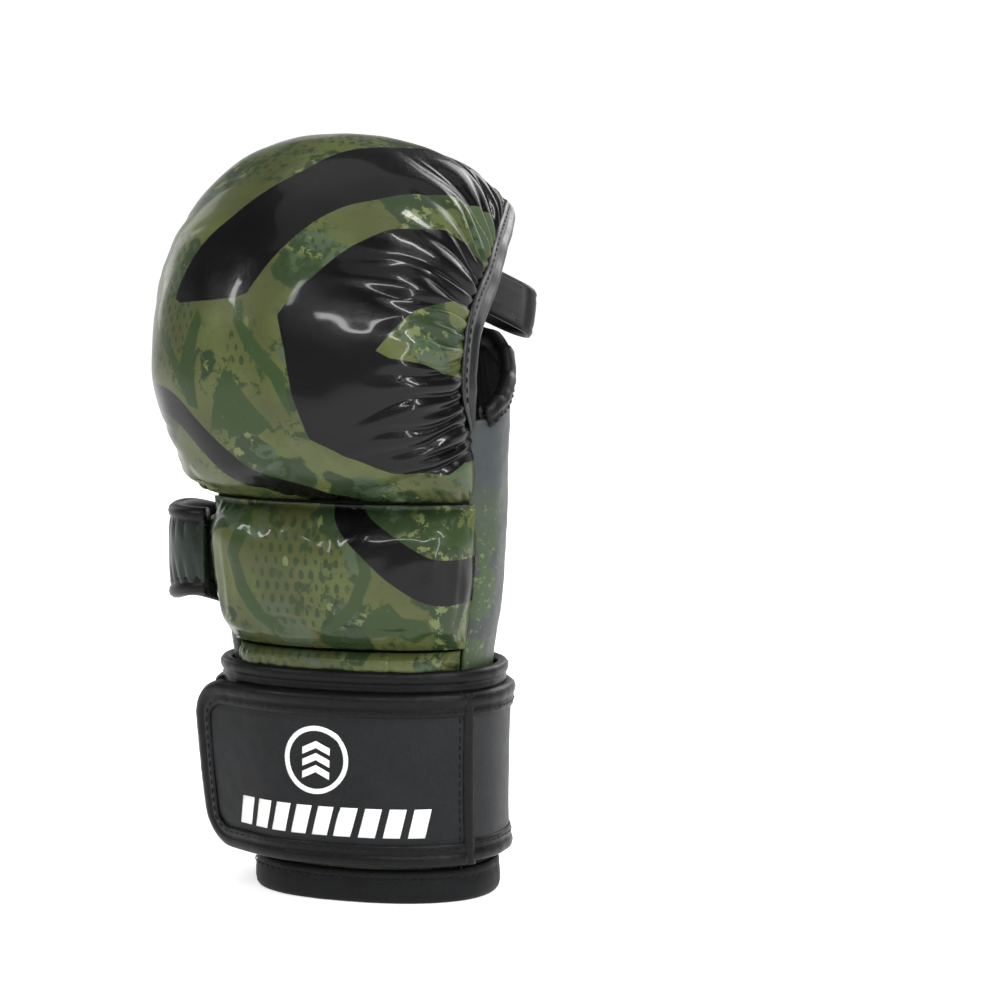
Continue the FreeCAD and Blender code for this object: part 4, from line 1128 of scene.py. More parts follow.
def tube_binding(name, pz, d, profile, mat, body, closed=False, inward=None, pucker=0.12, step=0.9, prof_scale=None):
    """Binding swept along (phi, z) points; inward is a (phi, z) point that lies on the panel's side."""
    pz = np.asarray(pz, float)
    pts = tube(pz[:, 0], pz[:, 1], d)
    sp, k, L = resample(pts, step, closed)
    src = np.concatenate([pz, pz[:1]]) if closed else pz
    p = np.interp(k, np.arange(len(src)), src[:, 0])
    z = np.interp(k, np.arange(len(src)), src[:, 1])
    n = tube_normal(p, z, d)
    t, side, n = frames(sp, n, closed)
    if not closed:
        t[:] = smooth_rows(t, 2)
    if inward is not None:
        c = tube(np.array(inward[0], float), np.array(inward[1], float), d)
        if ((c - sp) * side).sum(1).mean() < 0:
            side = -side
    sp = sp + n * (pucker * noise(sp / 2.7 + 4.0))[:, None]
    o = sweep(name, sp, side, n, profile, mat, closed, body=body)
    return o, sp, side, n


WRAP_PROFILE = [(5.2, 1.0), (5.2, 1.5), (3.6, 1.75), (2.9, 1.6), (2.4, 2.1), (1.2, 2.5), (-0.2, 2.2), (-1.4, 1.2), (-1.8, -0.2), (-1.6, -1.9),
                (-0.6, -3.0), (1.0, -3.4), (3.5, -3.2), (4.6, -2.9), (4.6, -2.3), (1.0, -2.2), (0.2, 0.6)]

tob = [(p, THUMB_CUT_Z + 2.4) for p in (207.0, 190.0, 175.0, 160.0, 147.0, 136.0)]
tob += [(129.0, 121.6), (122.0, 122.8), (115.5, 126.0), (109.5, 130.5), (104.5, 135.5), (101.0, 141.0), (99.0, 147.0)]
tob += [(98.2, z) for z in (154.0, 162.0, 171.0, 179.0, 187.5)]
tob = np.array(tob)
kk = np.linspace(0, len(tob) - 1, 140)
tobs = np.stack([np.interp(kk, np.arange(len(tob)), tob[:, c]) for c in range(2)], -1)
tobs = smooth_rows(tobs, 6)
o, sp, side, n = tube_binding("thumb_opening_rim", tobs, PALM_T - 0.7, WRAP_PROFILE, M_BIND, "hand", inward=(80.0, 150.0), pucker=0.28)
cc = tube(np.array(70.0), np.array(100.0), 2.0)
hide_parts("thumb_opening_binding")
s = stitches("thumb_opening_stitches", sp + side * 4.3 + n * 1.75, n, M_THREAD, "hand", 3.2, 2.1, 0.26, 0.0)

ptp = np.linspace(99.5, -21.0, 120)
ptz = palm_top(ptp) + 2.6
o, sp, side, n = tube_binding("palm_top_rim", np.stack([ptp, ptz], -1), PALM_T - 0.7, WRAP_PROFILE, M_BIND, "hand", inward=(40.0, 120.0), pucker=0.2)
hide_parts("palm_top_binding")
s = stitches("palm_top_stitches", sp + side * 4.3 + n * 1.75, n, M_THREAD, "hand", 3.2, 2.1, 0.26, 0.0)

# ------------------------------------------------------------------ wrist lining and cuff shell
ph = np.linspace(0, 360, 181)[:-1]


def ring_mesh(name, z0, z1, d0, d1, mat, body, nz=30, amp=0.0, seed=0.0):
    zz = np.linspace(z0, z1, nz)
    PH, ZZ = np.meshgrid(ph, zz, indexing="ij")
    o = tube(PH, ZZ, d1)
    i = tube(PH, ZZ, d0)
    if amp:
        nn = unit(o - i)
        o = o + nn * (amp * noise(o / 14.0 + seed))[..., None]
    n = len(ph)
    v = np.concatenate([o.reshape(-1, 3), i.reshape(-1, 3)])
    fo = quads(n, nz, 0, True)
    fi = quads(n, nz, n * nz, True, True)
    a = np.arange(n)
    b = (a + 1) % n
    top = np.stack([a * nz + nz - 1, b * nz + nz - 1, n * nz + b * nz + nz - 1, n * nz + a * nz + nz - 1], -1)
    bot = np.stack([b * nz, a * nz, n * nz + a * nz, n * nz + b * nz], -1)
    f = np.concatenate([fo, fi, top, bot])
    return make(name, v, f, mat, body=body)


lin2 = ring_mesh("wrist_lining_cloth", 2.6, 119.5, -1.2, -0.1, M_LINING_W, None, 60, 0.12)
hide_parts("wrist_lining")
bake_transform(lin2)
shell = pad_on_tube("cuff_palm_lining", -27.0, 207.0, 2.9, 73.0, lambda p, z: 4.0 + 0 * p, M_STRAP_DEEP, "cuff", 41, seams=(0, 0, 0, 0), dense=(90, 20))
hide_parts("cuff_palm_shell")

# hem
hp = np.linspace(0, 360, 301)[:-1]
hem_c = tube(hp, np.full_like(hp, 5.0), 5.2)
hn = unit(tube(hp, np.full_like(hp, 5.0), 6.2) - tube(hp, np.full_like(hp, 5.0), 4.2))
up = np.broadcast_to([0.0, 0.0, 1.0], hn.shape)
HEM_PROFILE = [(6.5, -0.9), (6.4, 0.1), (5.4, 0.75), (4.1, 0.85), (3.4, 0.55), (2.7, 0.9), (0.5, 1.1), (-2.0, 1.15), (-3.8, 0.8), (-4.8, 0.0), (-5.0, -1.0),
               (-5.0, -5.4), (-4.6, -6.2), (-3.4, -6.5), (-2.8, -6.0), (-2.6, -1.4), (-2.4, -0.9)]
flat = hem_c + hn * (0.15 * noise(hem_c / 5.0))[:, None]
flat[:, 2] = 5.0
o = sweep("cuff_hem", flat, up, hn, HEM_PROFILE, M_STRAP_DEEP, closed=True, body="cuff")
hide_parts("cuff_hem_binding")
hs = tube(hp, np.full_like(hp, 8.4), 5.8)
s = stitches("cuff_hem_stitches", hs, hn, M_THREAD, "cuff", 3.2, 2.1, 0.26, -0.05, closed=True)

# first turn of the strap
ft = ring_mesh("first_turn_strap", 14.0, 75.4, RING0 + 0.05, RING0 + WRAP_T, M_STRAP_DEEP, "cuff", 40, 0.1)
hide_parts("strap_first_turn")
fc = tube(hp, np.full_like(hp, 77.0), RING0 + 1.1)
fn = unit(tube(hp, np.full_like(hp, 77.0), 6.5) - tube(hp, np.full_like(hp, 77.0), 3.0))
fc = fc + fn * (0.14 * noise(fc / 3.0))[:, None]
FT_PROFILE = [(-6.5, 1.2), (-6.4, 1.6), (-3.4, 1.75), (-2.7, 1.45), (-2.0, 2.0), (-0.8, 2.45), (0.8, 2.4), (1.8, 1.6), (2.1, 0.2), (1.7, -0.9), (0.6, -1.3),
              (-2.0, -1.3), (-2.6, -0.6)]
o = sweep("first_turn_rim", fc, up, fn, FT_PROFILE, M_BIND, closed=True, body="cuff")
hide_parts("first_turn_binding")

# ------------------------------------------------------------------ outer strap: a flattened surface F(x, z, d)
def crease_phi(z):
    z = np.asarray(z, float)
    a, b = np.full(z.shape, -100.0), np.full(z.shape, -150.0)
    for _ in range(30):
        m = (a + b) / 2
        far = tube(m, z, F1)[..., 0] > TIP_X + X_SHIFT
        a, b = np.where(far, m, a), np.where(far, b, m)
    return (a + b) / 2


def tip(t, z, d):
    t, z, d = np.broadcast_arrays(*[np.asarray(q, float) for q in (t, z, d)])
    p = crease_phi(z)
    o = tube(p, z, d)
    q = tube(p - 0.2, z, F1) - tube(p + 0.2, z, F1)
    q[..., 2] = 0
    q = unit(q)
    out = o + q * t[..., None]
    out[..., 1] += 0.003 * t * t
    return out


_pp = np.linspace(SEAM_P - 0.6, float(crease_phi(np.array(43.0))), 400)
_arc = tube(_pp, np.full_like(_pp, 43.0), F1)
_arc = np.concatenate([[0], np.cumsum(np.linalg.norm(np.diff(_arc, axis=0), axis=1))])
FLAP_L = float(_arc[-1])


def flap(x, z, d):
    """x: millimetres from the seam along the flap, past FLAP_L on the free tip."""
    x, z, d = np.broadcast_arrays(*[np.asarray(q, float) for q in (x, z, d)])
    w = (np.interp(np.clip(x, 0, FLAP_L), _arc, _pp) - _pp[0]) / (_pp[-1] - _pp[0])
    p = _pp[0] + (crease_phi(z) - _pp[0]) * w
    on = tube(p, z, d)
    off = tip(np.maximum(x - FLAP_L, 0), z, d)
    return np.where((x <= FLAP_L)[..., None], on, off)


def flap_n(x, z):
    e = 0.5
    a = flap(x + e, z, F1) - flap(x - e, z, F1)
    b = flap(x, z + e, F1) - flap(x, z - e, F1)
    n = unit(np.cross(a, b))
    return n * np.sign((n * (flap(x, z, F1 + 1) - flap(x, z, F1))).sum(-1, keepdims=True))


def flap_relief(p):
    return 0.28 * noise(p / 19.0 + 2.0) + 0.12 * noise(p / 6.0)


FX1 = FLAP_L + TIP_L
FZT, FZB = 72.0, 13.0
CR = 13.5


def flap_z(x, top):
    u = np.clip((x - (FX1 - CR)) / CR, 0, 1)
    drop = CR * (1 - np.sqrt(np.maximum(0.0, 1 - u * u)))
    return np.where(top, FZT - drop, FZB + drop)


def cr_blend(o):
    """Bakes the piece's transform into its mesh; the flap's bend across its crease into the tip is already in its
    points.
    """
    c = flap(np.array(FLAP_L), np.array(43.0), (F0 + F1) / 2) * MM
    t = unit(flap(np.array(FLAP_L + 4.0), np.array(43.0), F0) - flap(np.array(FLAP_L), np.array(43.0), F0))
    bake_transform(o)


nx, nz = 200, 60
xs = np.concatenate([np.linspace(0, FX1 - CR, nx - 40), FX1 - CR + CR * np.sin(np.linspace(0, np.pi / 2 * 0.985, 41))[1:]])
ws = np.linspace(0, 1, nz)
XX = xs[:, None] * np.ones((1, nz))
zt, zb = flap_z(XX, True) - 1.2, flap_z(XX, False) + 1.2
zt, zb = np.maximum(zt, 42.6), np.minimum(zb, 42.4)
ZZf = zb + (zt - zb) * ws[None]
out_s = flap(XX, ZZf, F1)
nn = flap_n(XX, ZZf)
edge = np.minimum(ZZf - zb, zt - ZZf)
D = flap_relief(out_s) - 0.35 * np.exp(-((edge - 7.4) / 0.7) ** 2)
outer = out_s + nn * D[..., None]
inner = flap(XX, ZZf, F0)
o = slab("strap_flap_leather", outer, inner, [M_STRAP, M_STRAP_DEEP], None, 1, 0)
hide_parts("flap_panel", "tip_panel")
cr_blend(o)

# border binding: along the top, round the tip, back along the bottom
top_x = np.linspace(0, FX1 - CR, 150)
arc_a = np.linspace(np.pi / 2, -np.pi / 2, 60)
zc_t, zc_b = FZT - CR, FZB + CR
bx = [(x, FZT) for x in top_x] + [(FX1 - CR + CR * math.cos(a), zc_t + CR * math.sin(a)) for a in np.linspace(np.pi / 2, 0, 30)[1:]] \
    + [(FX1, z) for z in np.linspace(zc_t, zc_b, 30)[1:]] + [(FX1 - CR + CR * math.cos(a), zc_b + CR * math.sin(a)) for a in np.linspace(0, -np.pi / 2, 30)[1:]] \
    + [(x, FZB) for x in top_x[::-1][1:]]
bx = np.array(bx)
mid_d = (F0 + F1) / 2
bp = flap(bx[:, 0], bx[:, 1], mid_d)
bpr, k, L = resample(bp, 0.9)
bxi = np.stack([np.interp(k, np.arange(len(bx)), bx[:, c]) for c in range(2)], -1)
bn = flap_n(bxi[:, 0], bxi[:, 1])
t, side, bn = frames(bpr, bn)
cen = flap(np.array(FX1 * 0.5), np.array(42.5), mid_d)
sgn = np.sign(((flap(np.clip(bxi[:, 0], 0, FX1 - 16), np.full(len(bxi), 42.5), mid_d) - bpr) * side).sum(1, keepdims=True))
side = side * sgn
STRAP_PROFILE = [(8.0, 1.1), (8.0, 1.65), (7.0, 1.8), (5.4, 1.9), (4.7, 1.55), (4.1, 2.1), (2.6, 2.5), (1.0, 2.1), (0.15, 0.9), (0.0, -0.4), (0.5, -1.3),
                 (1.8, -1.7), (4.6, -1.6), (5.2, -1.1), (5.2, 0.9)]
wig = bn * (0.10 * noise(bpr / 3.0 + 7.0))[:, None]
o = sweep("strap_flap_rim", bpr + wig, side, bn, STRAP_PROFILE, M_BIND)
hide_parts("flap_top_binding", "flap_lower_binding", "tip_top_binding", "tip_lower_binding", "tip_end_binding")
cr_blend(o)
s = stitches("strap_flap_stitches", bpr + side * 6.3 + bn * 1.85, bn, M_THREAD, None, 3.2, 2.1, 0.26, 0.0)
cr_blend(s)

# fixed outer strap
def fixed_strip(name, p0, p1, mats, node, seed):
    n = 150
    PH, ZZ = np.meshgrid(np.linspace(p0, p1, n), np.linspace(15.2, 70.8, 46), indexing="ij")
    b = tube(PH, ZZ, S1)
    nn = tube_normal(PH, ZZ, S1)
    D = 0.25 * noise(b / 18.0 + seed) - 0.7 * np.exp(-((PH - p0) / 0.9) ** 2)
    o = slab(name, b + nn * D[..., None], tube(PH, ZZ, S0), mats, None, 1, 0, "cuff")
    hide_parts(node)
    return o


fixed_strip("strap_side_leather", SEAM_P + 0.1, PALM_SEAM_P, [M_SIDE, M_STRAP_DEEP], "strap_side_panel", 3)
fixed_strip("strap_palm_leather", PALM_SEAM_P, FIX_END_P, [M_STRAP, M_STRAP_DEEP], "strap_palm_panel", 6)
fp = np.linspace(SEAM_P + 0.2, FIX_END_P, 330)
for nm, z, sg, node in (("fixed_strap_top_rim", 72.0, -1.0, "strap_fixed_top_binding"), ("fixed_strap_lower_rim", 14.0, 1.0, "strap_fixed_lower_binding")):
    c = tube(fp, np.full_like(fp, z), (S0 + S1) / 2)
    nn = tube_normal(fp, np.full_like(fp, z), S1)
    c = c + nn * (0.10 * noise(c / 3.0 + 1.0))[:, None]
    o = sweep(nm, c, np.broadcast_to([0, 0, sg], c.shape), nn, STRAP_PROFILE, M_BIND, body="cuff")
    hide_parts(node)
    s = stitches(nm + "_stitches", c + np.array([0, 0, sg]) * 6.3 + nn * 1.85, nn, M_THREAD, "cuff", 3.2, 2.1, 0.26, 0.0)

# seam tape where the flap starts
zz = np.linspace(13.4, 71.6, 70)
c = tube(np.full_like(zz, SEAM_P + 1.4), zz, S1 + 0.35)
nn = tube_normal(np.full_like(zz, SEAM_P + 1.4), zz, S1)
hz = np.broadcast_to([0.0, 0.0, 1.0], nn.shape)
tt_ = np.cross(hz, nn)
o = sweep("strap_seam_tape", c, tt_, nn, [(2.0, -0.6), (2.1, 0.3), (1.2, 0.75), (0.0, 0.9), (-1.2, 0.75), (-2.1, 0.3), (-2.0, -0.6)], M_BIND, body="cuff")
sx = flap(np.full_like(zz, 2.2), zz, F1)
s = stitches("strap_seam_stitches", sx, flap_n(np.full_like(zz, 2.2), zz), M_THREAD, "strap_flap", 3.0, 2.0, 0.26, 0.12)

# ------------------------------------------------------------------ printed badge: a ring with chevrons over a row of slanted bars
def flap_patch(name, quads_xz, lift=0.32, sub=10, body="strap_flap"):
    """Thin raised shapes on the flap, each four corners in (x, z)."""
    V, F = [], []
    for q in quads_xz:
        q = np.array(q, float)
        s = np.linspace(0, 1, sub)
        a = q[0][None] * (1 - s)[:, None] + q[1][None] * s[:, None]
        b = q[3][None] * (1 - s)[:, None] + q[2][None] * s[:, None]
        g = a[:, None] * (1 - s)[None, :, None] + b[:, None] * s[None, :, None]
        # round the edges down
        e = np.minimum(np.minimum(s, 1 - s)[:, None], np.minimum(s, 1 - s)[None])
        h = lift * np.where(e > 0, 1.0, 0.55)
        top = flap(g[..., 0], g[..., 1], F1)
        top = top + flap_n(g[..., 0], g[..., 1]) * (h + flap_relief(top))[..., None]
        bot = flap(g[..., 0], g[..., 1], F1 - 0.5)
        base = len(V)
        n = sub * sub
        V.extend(top.reshape(-1, 3)); V.extend(bot.reshape(-1, 3))
        fo = quads(sub, sub, base)
        fi = quads(sub, sub, base + n, flip=True)
        rim_ = [(i, 0) for i in range(sub)] + [(sub - 1, j) for j in range(1, sub)] + [(i, sub - 1) for i in range(sub - 2, -1, -1)] + [(0, j) for j in range(sub - 2, 0, -1)]
        sd = [[base + i * sub + j for i, j in (b_, a_)] + [base + n + a_[0] * sub + a_[1], base + n + b_[0] * sub + b_[1]] for a_, b_ in zip(rim_, rim_[1:] + rim_[:1])]
        nrm = np.cross(top[1, 0] - top[0, 0], top[0, 1] - top[0, 0])
        f = np.concatenate([fo, fi, np.array(sd)])
        if (nrm * (top[0, 0] - bot[0, 0])).sum() < 0:
            f = f[:, ::-1]
        F.extend(f.tolist())
    return make(name, np.array(V), F, M_PRINT, body=body)


def x_of(phi, z):
    xs_ = np.linspace(0, FLAP_L, 500)
    p = np.interp(xs_, _arc, _pp)
    return float(np.interp(-phi, -p, xs_))


BX, BZ = x_of(-97.4, 48.6), 48.8
R1, R0 = 11.6, 9.9
ringq = []
for i in range(48):
    a0, a1 = 2 * math.pi * i / 48, 2 * math.pi * (i + 1) / 48
    ringq.append([(BX + R0 * math.cos(a0), BZ + R0 * math.sin(a0)), (BX + R1 * math.cos(a0), BZ + R1 * math.sin(a0)),
                  (BX + R1 * math.cos(a1), BZ + R1 * math.sin(a1)), (BX + R0 * math.cos(a1), BZ + R0 * math.sin(a1))])
chev = []
for dz in (-3.5, 0.6, 4.7):
    for sg in (-1, 1):
        chev.append([(BX, BZ + dz + 1.7), (BX, BZ + dz - 0.7), (BX + sg * 4.9, BZ + dz - 3.0), (BX + sg * 4.9, BZ + dz - 0.6)])
o = flap_patch("badge_ring", ringq, sub=3)
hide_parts("flap_badge")
o = flap_patch("badge_chevrons", chev, sub=6)
x_lo, x_hi = x_of(-55.0, 28.0), FLAP_L + 17.0
bars, x = [], x_lo
i = 0
while x < x_hi - 6.0:
    w = 5.6
    bars.append([(x, 23.4), (x + w, 23.4), (x + w - 2.2, 33.2), (x - 2.2, 33.2)])
    x += w + 2.6
    i += 1
o = flap_patch("badge_bars", bars, sub=6, body=None)
cr_blend(o)

# ------------------------------------------------------------------ fastener patches stay as cut, with their own finish
for node, m_ in (("loop_fastener_patch", M_PILE), ("hook_fastener_patch", M_HOOK), ("loop_anchor_tape", M_LINING_W)):
    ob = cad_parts[node]
    if ob is not None:
        for sl in ob.material_slots:
            sl.material = m_

# ------------------------------------------------------------------ thumb loop
def thumb(a, w, d):
    a, w, d = np.broadcast_arrays(*[np.asarray(q, float) for q in (a, w, d)])
    r = np.radians(a)
    x = -47.5 - (19.5 + d) * np.maximum(0.0, np.cos(r)) ** 0.85
    y = 2.0 + (20.5 + d) * np.sign(np.sin(r)) * np.abs(np.sin(r)) ** 0.9
    zl = table([(-90.0, 101.0), (0.0, 96.6), (90.0, 89.5)], a)
    zu = table([(-90.0, 129.5), (0.0, 129.6), (90.0, 124.0)], a)
    return np.stack([x + X_SHIFT, y + Y_SHIFT, zl + (zu - zl) * w], -1)


aa = np.linspace(-84, 86, 110)
AW, WW = np.meshgrid(aa, np.linspace(0.06, 0.94, 46), indexing="ij")
b = thumb(AW, WW, 3.2)
crown = 1.3 * bumpf((WW - 0.06) / 0.88)
dent = 0.8 * valleys(AW * 0.36, (WW - 0.06) * 30, [(s_, 0.8, 14, 0.8, 0.1, 0.4, s_) for s_ in np.arange(-28, 30, 4.3)]) \
    + 0.8 * valleys(AW * 0.36, (0.94 - WW) * 30, [(s_, 0.8, 12, 0.7, -0.1, 0.4, s_) for s_ in np.arange(-27, 30, 4.9)])
o = slab("thumb_loop_leather", thumb(AW, WW, 3.2 + crown - dent), thumb(AW, WW, 0.5), [M_THUMB, M_LINING], None, 1, 0, "thumb_loop")
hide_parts("thumb_loop_band", "thumb_loop_lining")
TLP = [(5.4, 1.2), (5.4, 1.8), (3.8, 2.1), (3.2, 1.8), (2.6, 2.4), (1.2, 2.7), (-0.2, 2.3), (-1.2, 1.0), (-1.3, -0.6), (-0.6, -1.9), (1.2, -2.3), (4.2, -2.1), (5.2, -1.4), (5.2, 0.6)]
for nm, w, sg, node in (("thumb_loop_top_rim", 0.975, -1.0, "thumb_loop_upper_binding"), ("thumb_loop_base_rim", 0.025, 1.0, "thumb_loop_lower_binding")):
    c = thumb(aa, w, 1.9)
    c, k, _ = resample(c, 0.9)
    ak = np.interp(k, np.arange(len(aa)), aa)
    nn = unit(thumb(ak, w, 4.0) - thumb(ak, w, 1.0))
    t, side, nn = frames(c, nn)
    side = side * np.sign((side * np.array([0, 0, sg])).sum(1, keepdims=True))
    o = sweep(nm, c, side, nn, TLP, M_BIND, body="thumb_loop")
    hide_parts(node)
    s = stitches(nm + "_stitches", c + side * 4.5 + nn * 1.95, nn, M_THREAD, "thumb_loop", 3.2, 2.1, 0.26, 0.0)

# ------------------------------------------------------------------ finger loops
LOOP_T, LOOP_BASE, LOOP_TILT, LOOP_REACH, KNEE = 1.7, (0.0, 215.5), 22.0, 43.0, 20.0
LOOPS = [
    ("index", -8.5, 8.5, 9.0, (-44.5, -46.0, -50.0), (-27.5, -27.8, -28.5)),
    ("middle", -8.5, 8.5, 3.5, (-26.5, -26.8, -27.5), (-3.0, -3.2, -3.5)),
    ("ring", -8.5, 8.5, 5.6, (-2.0, -2.2, -2.5), (20.5, 20.8, 21.5)),
    ("little", -9.5, 6.8, 11.0, (21.8, 22.0, 23.0), (30.5, 31.5, 51.0)),
]


def loop_at(x, g, f):
    tl = math.radians(LOOP_TILT)
    gy, gz, fy, fz = math.cos(tl), -math.sin(tl), math.sin(tl), math.cos(tl)
    x, g, f = np.broadcast_arrays(*[np.asarray(q, float) for q in (x, g, f)])
    return np.stack([x + X_SHIFT, LOOP_BASE[0] + g * gy + f * fy + Y_SHIFT, LOOP_BASE[1] + g * gz + f * fz], -1)


tl = math.radians(LOOP_TILT)
FDIR = np.array([0.0, math.sin(tl), math.cos(tl)])
for nm, f0, f1, g0, left, right in LOOPS:
    h = LOOP_T / 2
    r = (right[2] - left[2]) / 2
    g1 = LOOP_REACH - r
    xc = (left[2] + right[2]) / 2
    pts = [(left[0] + h - 0.3, g0 - 4.5), (left[0] + h, g0), (left[1] + h, KNEE), (left[2] + h, g1)]
    pts += [(xc - (r - h) * math.cos(a), g1 + (LOOP_REACH - g1 - h) * math.sin(a)) for a in np.linspace(0, np.pi, 26)[1:-1]]
    pts += [(right[2] - h, g1), (right[1] - h, KNEE), (right[0] - h, g0), (right[0] - h + 0.3, g0 - 4.5)]
    q = np.array(pts)
    slope = (2.4 - 0.40 * np.maximum(q[:, 0] - 24.0, 0.0)) * smooth(q[:, 1], g0 - 1.0, KNEE + 2.0) if nm == "little" else 0.0
    p3 = loop_at(q[:, 0], q[:, 1], (f0 + f1) / 2 + slope)
    p3, k, _ = resample(p3, 0.8)
    p3 = smooth_rows(p3, 5)
    cc = loop_at(xc, KNEE * 0.6, (f0 + f1) / 2)
    e1 = np.broadcast_to(FDIR, p3.shape)
    t = unit(np.gradient(p3, axis=0))
    nn = unit(np.cross(t, e1))
    nn = nn * np.sign(((p3 - cc) * nn).sum(1, keepdims=True).mean())
    if ((p3 - cc) * nn).sum(1).mean() < 0:
        nn = -nn
    w = (f1 - f0) / 2
    prof = []
    for i_ in range(13):
        x_ = -w + 2 * w * i_ / 12
        lift = 1.15 + 0.25 * math.cos(math.pi * x_ / (2 * w)) - 0.45 * math.exp(-((abs(x_) - (w - 2.3)) / 0.6) ** 2)
        prof.append((x_, lift if 0 < i_ < 12 else 0.45))
    for i_ in range(13):
        x_ = w - 2 * w * i_ / 12
        prof.append((x_, -0.9 if 0 < i_ < 12 else -0.45))
    p3 = p3 + nn * (0.22 * noise(p3 / 7.0 + len(nm)))[:, None]
    o = sweep("finger_strap_" + nm, p3, e1, nn, prof, M_LOOP, body="finger_loop_" + nm)
    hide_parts("finger_loop_" + nm)
    for sg in (-1, 1):
        s = stitches("finger_strap_%s_stitches_%s" % (nm, "a" if sg < 0 else "b"), p3 + e1 * (sg * (w - 2.3)) + nn * 0.75, nn, M_THREAD, "finger_loop_" + nm,
                     2.9, 2.0, 0.25, 0.05)

# ------------------------------------------------------------------ stage, light and camera
def floor():
    n, m = 60, 80
    y = []
    for i in range(m):
        u = i / (m - 1)
        y.append(u)
    V, F = [], []
    prof = []
    for u in np.linspace(0, 1, m):
        prof.append((-3.0 + 33.0 * u ** 1.6, 0.0))
    for (yy, zz_) in prof:
        for i in range(n):
            V.append(((-14 + 28 * i / (n - 1)) * 1000, yy * 1000, zz_ * 1000))
    f = quads(m, n)
    mt = Mat("studio_floor")
    c = mt.mix(mt.noise(0.004, 2, 0.5), "#fafafa", "#fdfdfd")
    mt.done(c, 0.75, mt.bump(mt.noise(0.6, 2, 0.5), 0.01), spec=0.15)
    # painted light: the floor glows though it is no lamp; the glow is weaker near the glove and weaker towards the
    # camera side
    mt.b.inputs["Emission Color"].default_value = (1, 1, 1, 1)
    fx, fy, _ = mt.split(mt.p)
    far = mt.math("SQRT", mt.math("ADD", mt.math("MULTIPLY", fx, fx), mt.math("MULTIPLY", fy, fy)))
    glow = mt.math("ADD", 0.42, mt.math("MULTIPLY", mt.step(far, 900.0, 750.0), 0.44))
    glow = mt.math("MULTIPLY", glow, mt.step(fy, -700.0, 380.0, 0.50, 1.0))
    mt.put(mt.b.inputs["Emission Strength"], glow)
    o = make("studio_floor", np.array(V), f, mt.m)


floor()


def area(name, loc, target, size, power, size_y=None, color=(1, 1, 1)):
    l = bpy.data.lights.new(name, "AREA")
    l.energy = power
    l.size = size
    l.color = color
    if size_y:
        l.shape = "RECTANGLE"
        l.size_y = size_y
    o = bpy.data.objects.new(name, l)
    o.location = loc
    d = Vector(target) - Vector(loc)
    o.rotation_euler = d.to_track_quat("-Z", "Y").to_euler()
    bpy.context.scene.collection.objects.link(o)
    return o


AIM = (0.009, 0.0, 0.13)
area("key_left", (-1.0, -0.8, 0.95), AIM, 0.14, 5.5, 0.42)
area("top_soft", (0.05, 0.0, 1.4), AIM, 1.3, 4.0, 1.3)
area("right_strip", (1.0, -0.80, 0.42), AIM, 0.06, 3.4, 0.7)
area("upper_right", (0.70, -0.35, 1.0), AIM, 0.06, 8.0, 0.85)
area("front_strip", (0.42, -1.15, 0.86), AIM, 1.05, 7.5, 0.06)
area("front_high", (-0.25, -1.25, 1.15), AIM, 0.09, 2.6, 0.42)
area("palm_soft", (0.45, 1.5, 1.0), AIM, 0.9, 11.0, 0.9)
area("back_left", (-1.0, 0.6, 0.6), AIM, 0.3, 1.6, 0.8)
area("back_right", (0.9, 0.8, 0.8), AIM, 0.4, 2.4, 0.8)

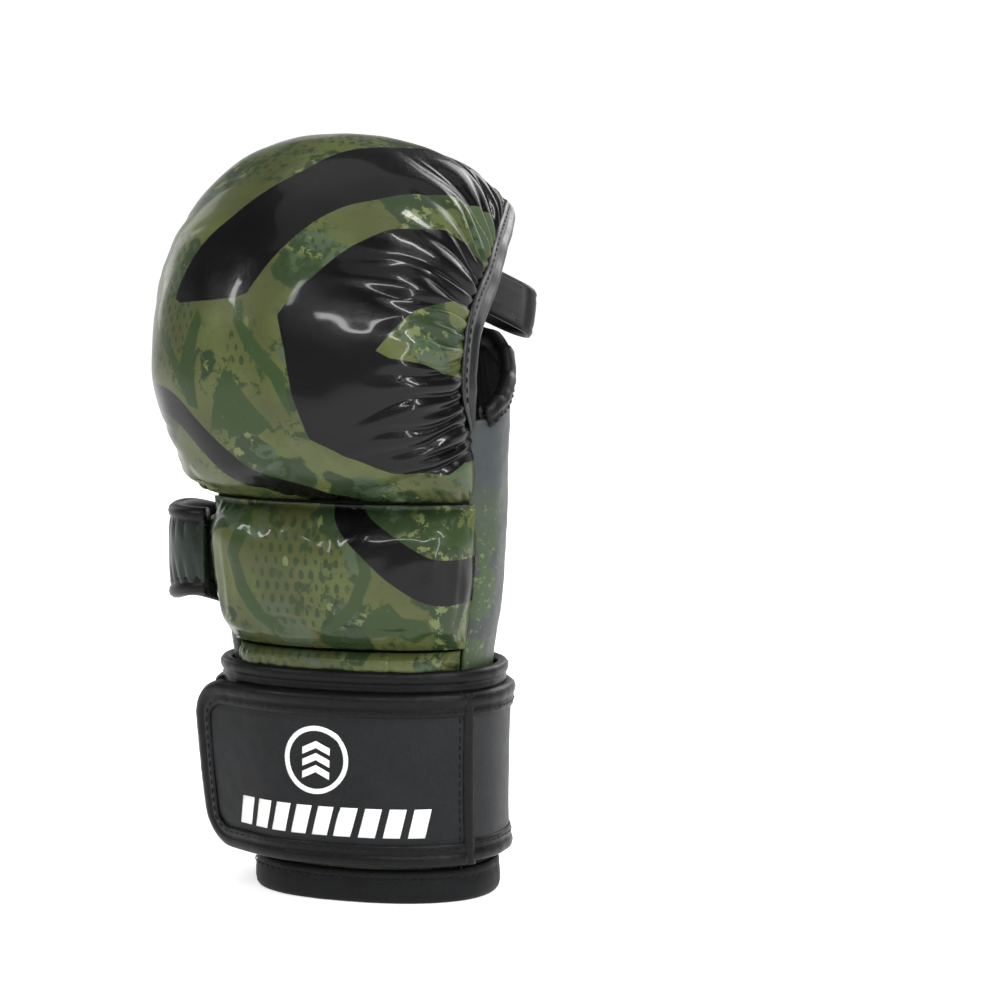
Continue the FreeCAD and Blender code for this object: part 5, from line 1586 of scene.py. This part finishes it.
world = bpy.data.worlds.new("studio")
world.use_nodes = True
bg = world.node_tree.nodes.get("Background") or world.node_tree.nodes.new("ShaderNodeBackground")
bg.inputs[0].default_value = (1, 1, 1, 1)
wt = world.node_tree
tcw = wt.nodes.new("ShaderNodeTexCoord")
sep = wt.nodes.new("ShaderNodeSeparateXYZ")
wt.links.new(tcw.outputs["Generated"], sep.inputs[0])
mr = wt.nodes.new("ShaderNodeMapRange")
mr.interpolation_type = "SMOOTHSTEP"
mr.inputs["From Min"].default_value = 0.10
mr.inputs["From Max"].default_value = 0.42
mr.inputs["To Min"].default_value = 1.0
mr.inputs["To Max"].default_value = 0.0
wt.links.new(sep.outputs[2], mr.inputs["Value"])
dotn = wt.nodes.new("ShaderNodeVectorMath")                 # a lit white backdrop stands behind the glove, the rest of the room is dimmer
dotn.operation = "DOT_PRODUCT"
dotn.inputs[1].default_value = (-0.309, 0.951, 0.0)
wt.links.new(tcw.outputs["Generated"], dotn.inputs[0])
mb = wt.nodes.new("ShaderNodeMapRange")
mb.interpolation_type = "SMOOTHSTEP"
mb.inputs["From Min"].default_value = 0.50
mb.inputs["From Max"].default_value = 0.92
mb.inputs["To Min"].default_value = 0.50
mb.inputs["To Max"].default_value = 1.0
wt.links.new(dotn.outputs["Value"], mb.inputs["Value"])
both = wt.nodes.new("ShaderNodeMath")
both.operation = "MULTIPLY"
wt.links.new(mr.outputs[0], both.inputs[0])
wt.links.new(mb.outputs[0], both.inputs[1])
lift_ = wt.nodes.new("ShaderNodeMath")
lift_.operation = "MULTIPLY_ADD"
lift_.inputs[1].default_value = 0.89
lift_.inputs[2].default_value = 0.14
wt.links.new(both.outputs[0], lift_.inputs[0])
wt.links.new(lift_.outputs[0], bg.inputs[1])
bpy.context.scene.world = world

A_, E_ = math.radians(18.0), math.radians(6.5)
back_v = Vector((math.sin(A_) * math.cos(E_), -math.cos(A_) * math.cos(E_), math.sin(E_)))
right_v = Vector((math.cos(A_), math.sin(A_), 0.0))
up_v = back_v.cross(right_v)
cam = bpy.data.cameras.new("camera")
cam.lens = 127.4
cam.sensor_width = 36.0
cam.clip_end = 50.0
co = bpy.data.objects.new("camera", cam)
co.location = Vector((0.00917, 0.00238, 0.128)) + back_v * 1.2 + right_v * 0.0446 + up_v * 0.0042
co.rotation_euler = back_v.to_track_quat("Z", "Y").to_euler()
bpy.context.scene.collection.objects.link(co)
bpy.context.scene.camera = co
bpy.context.scene.view_settings.view_transform = "Standard"
bpy.context.scene.view_settings.look = "None"

bpy.context.view_layer.update()
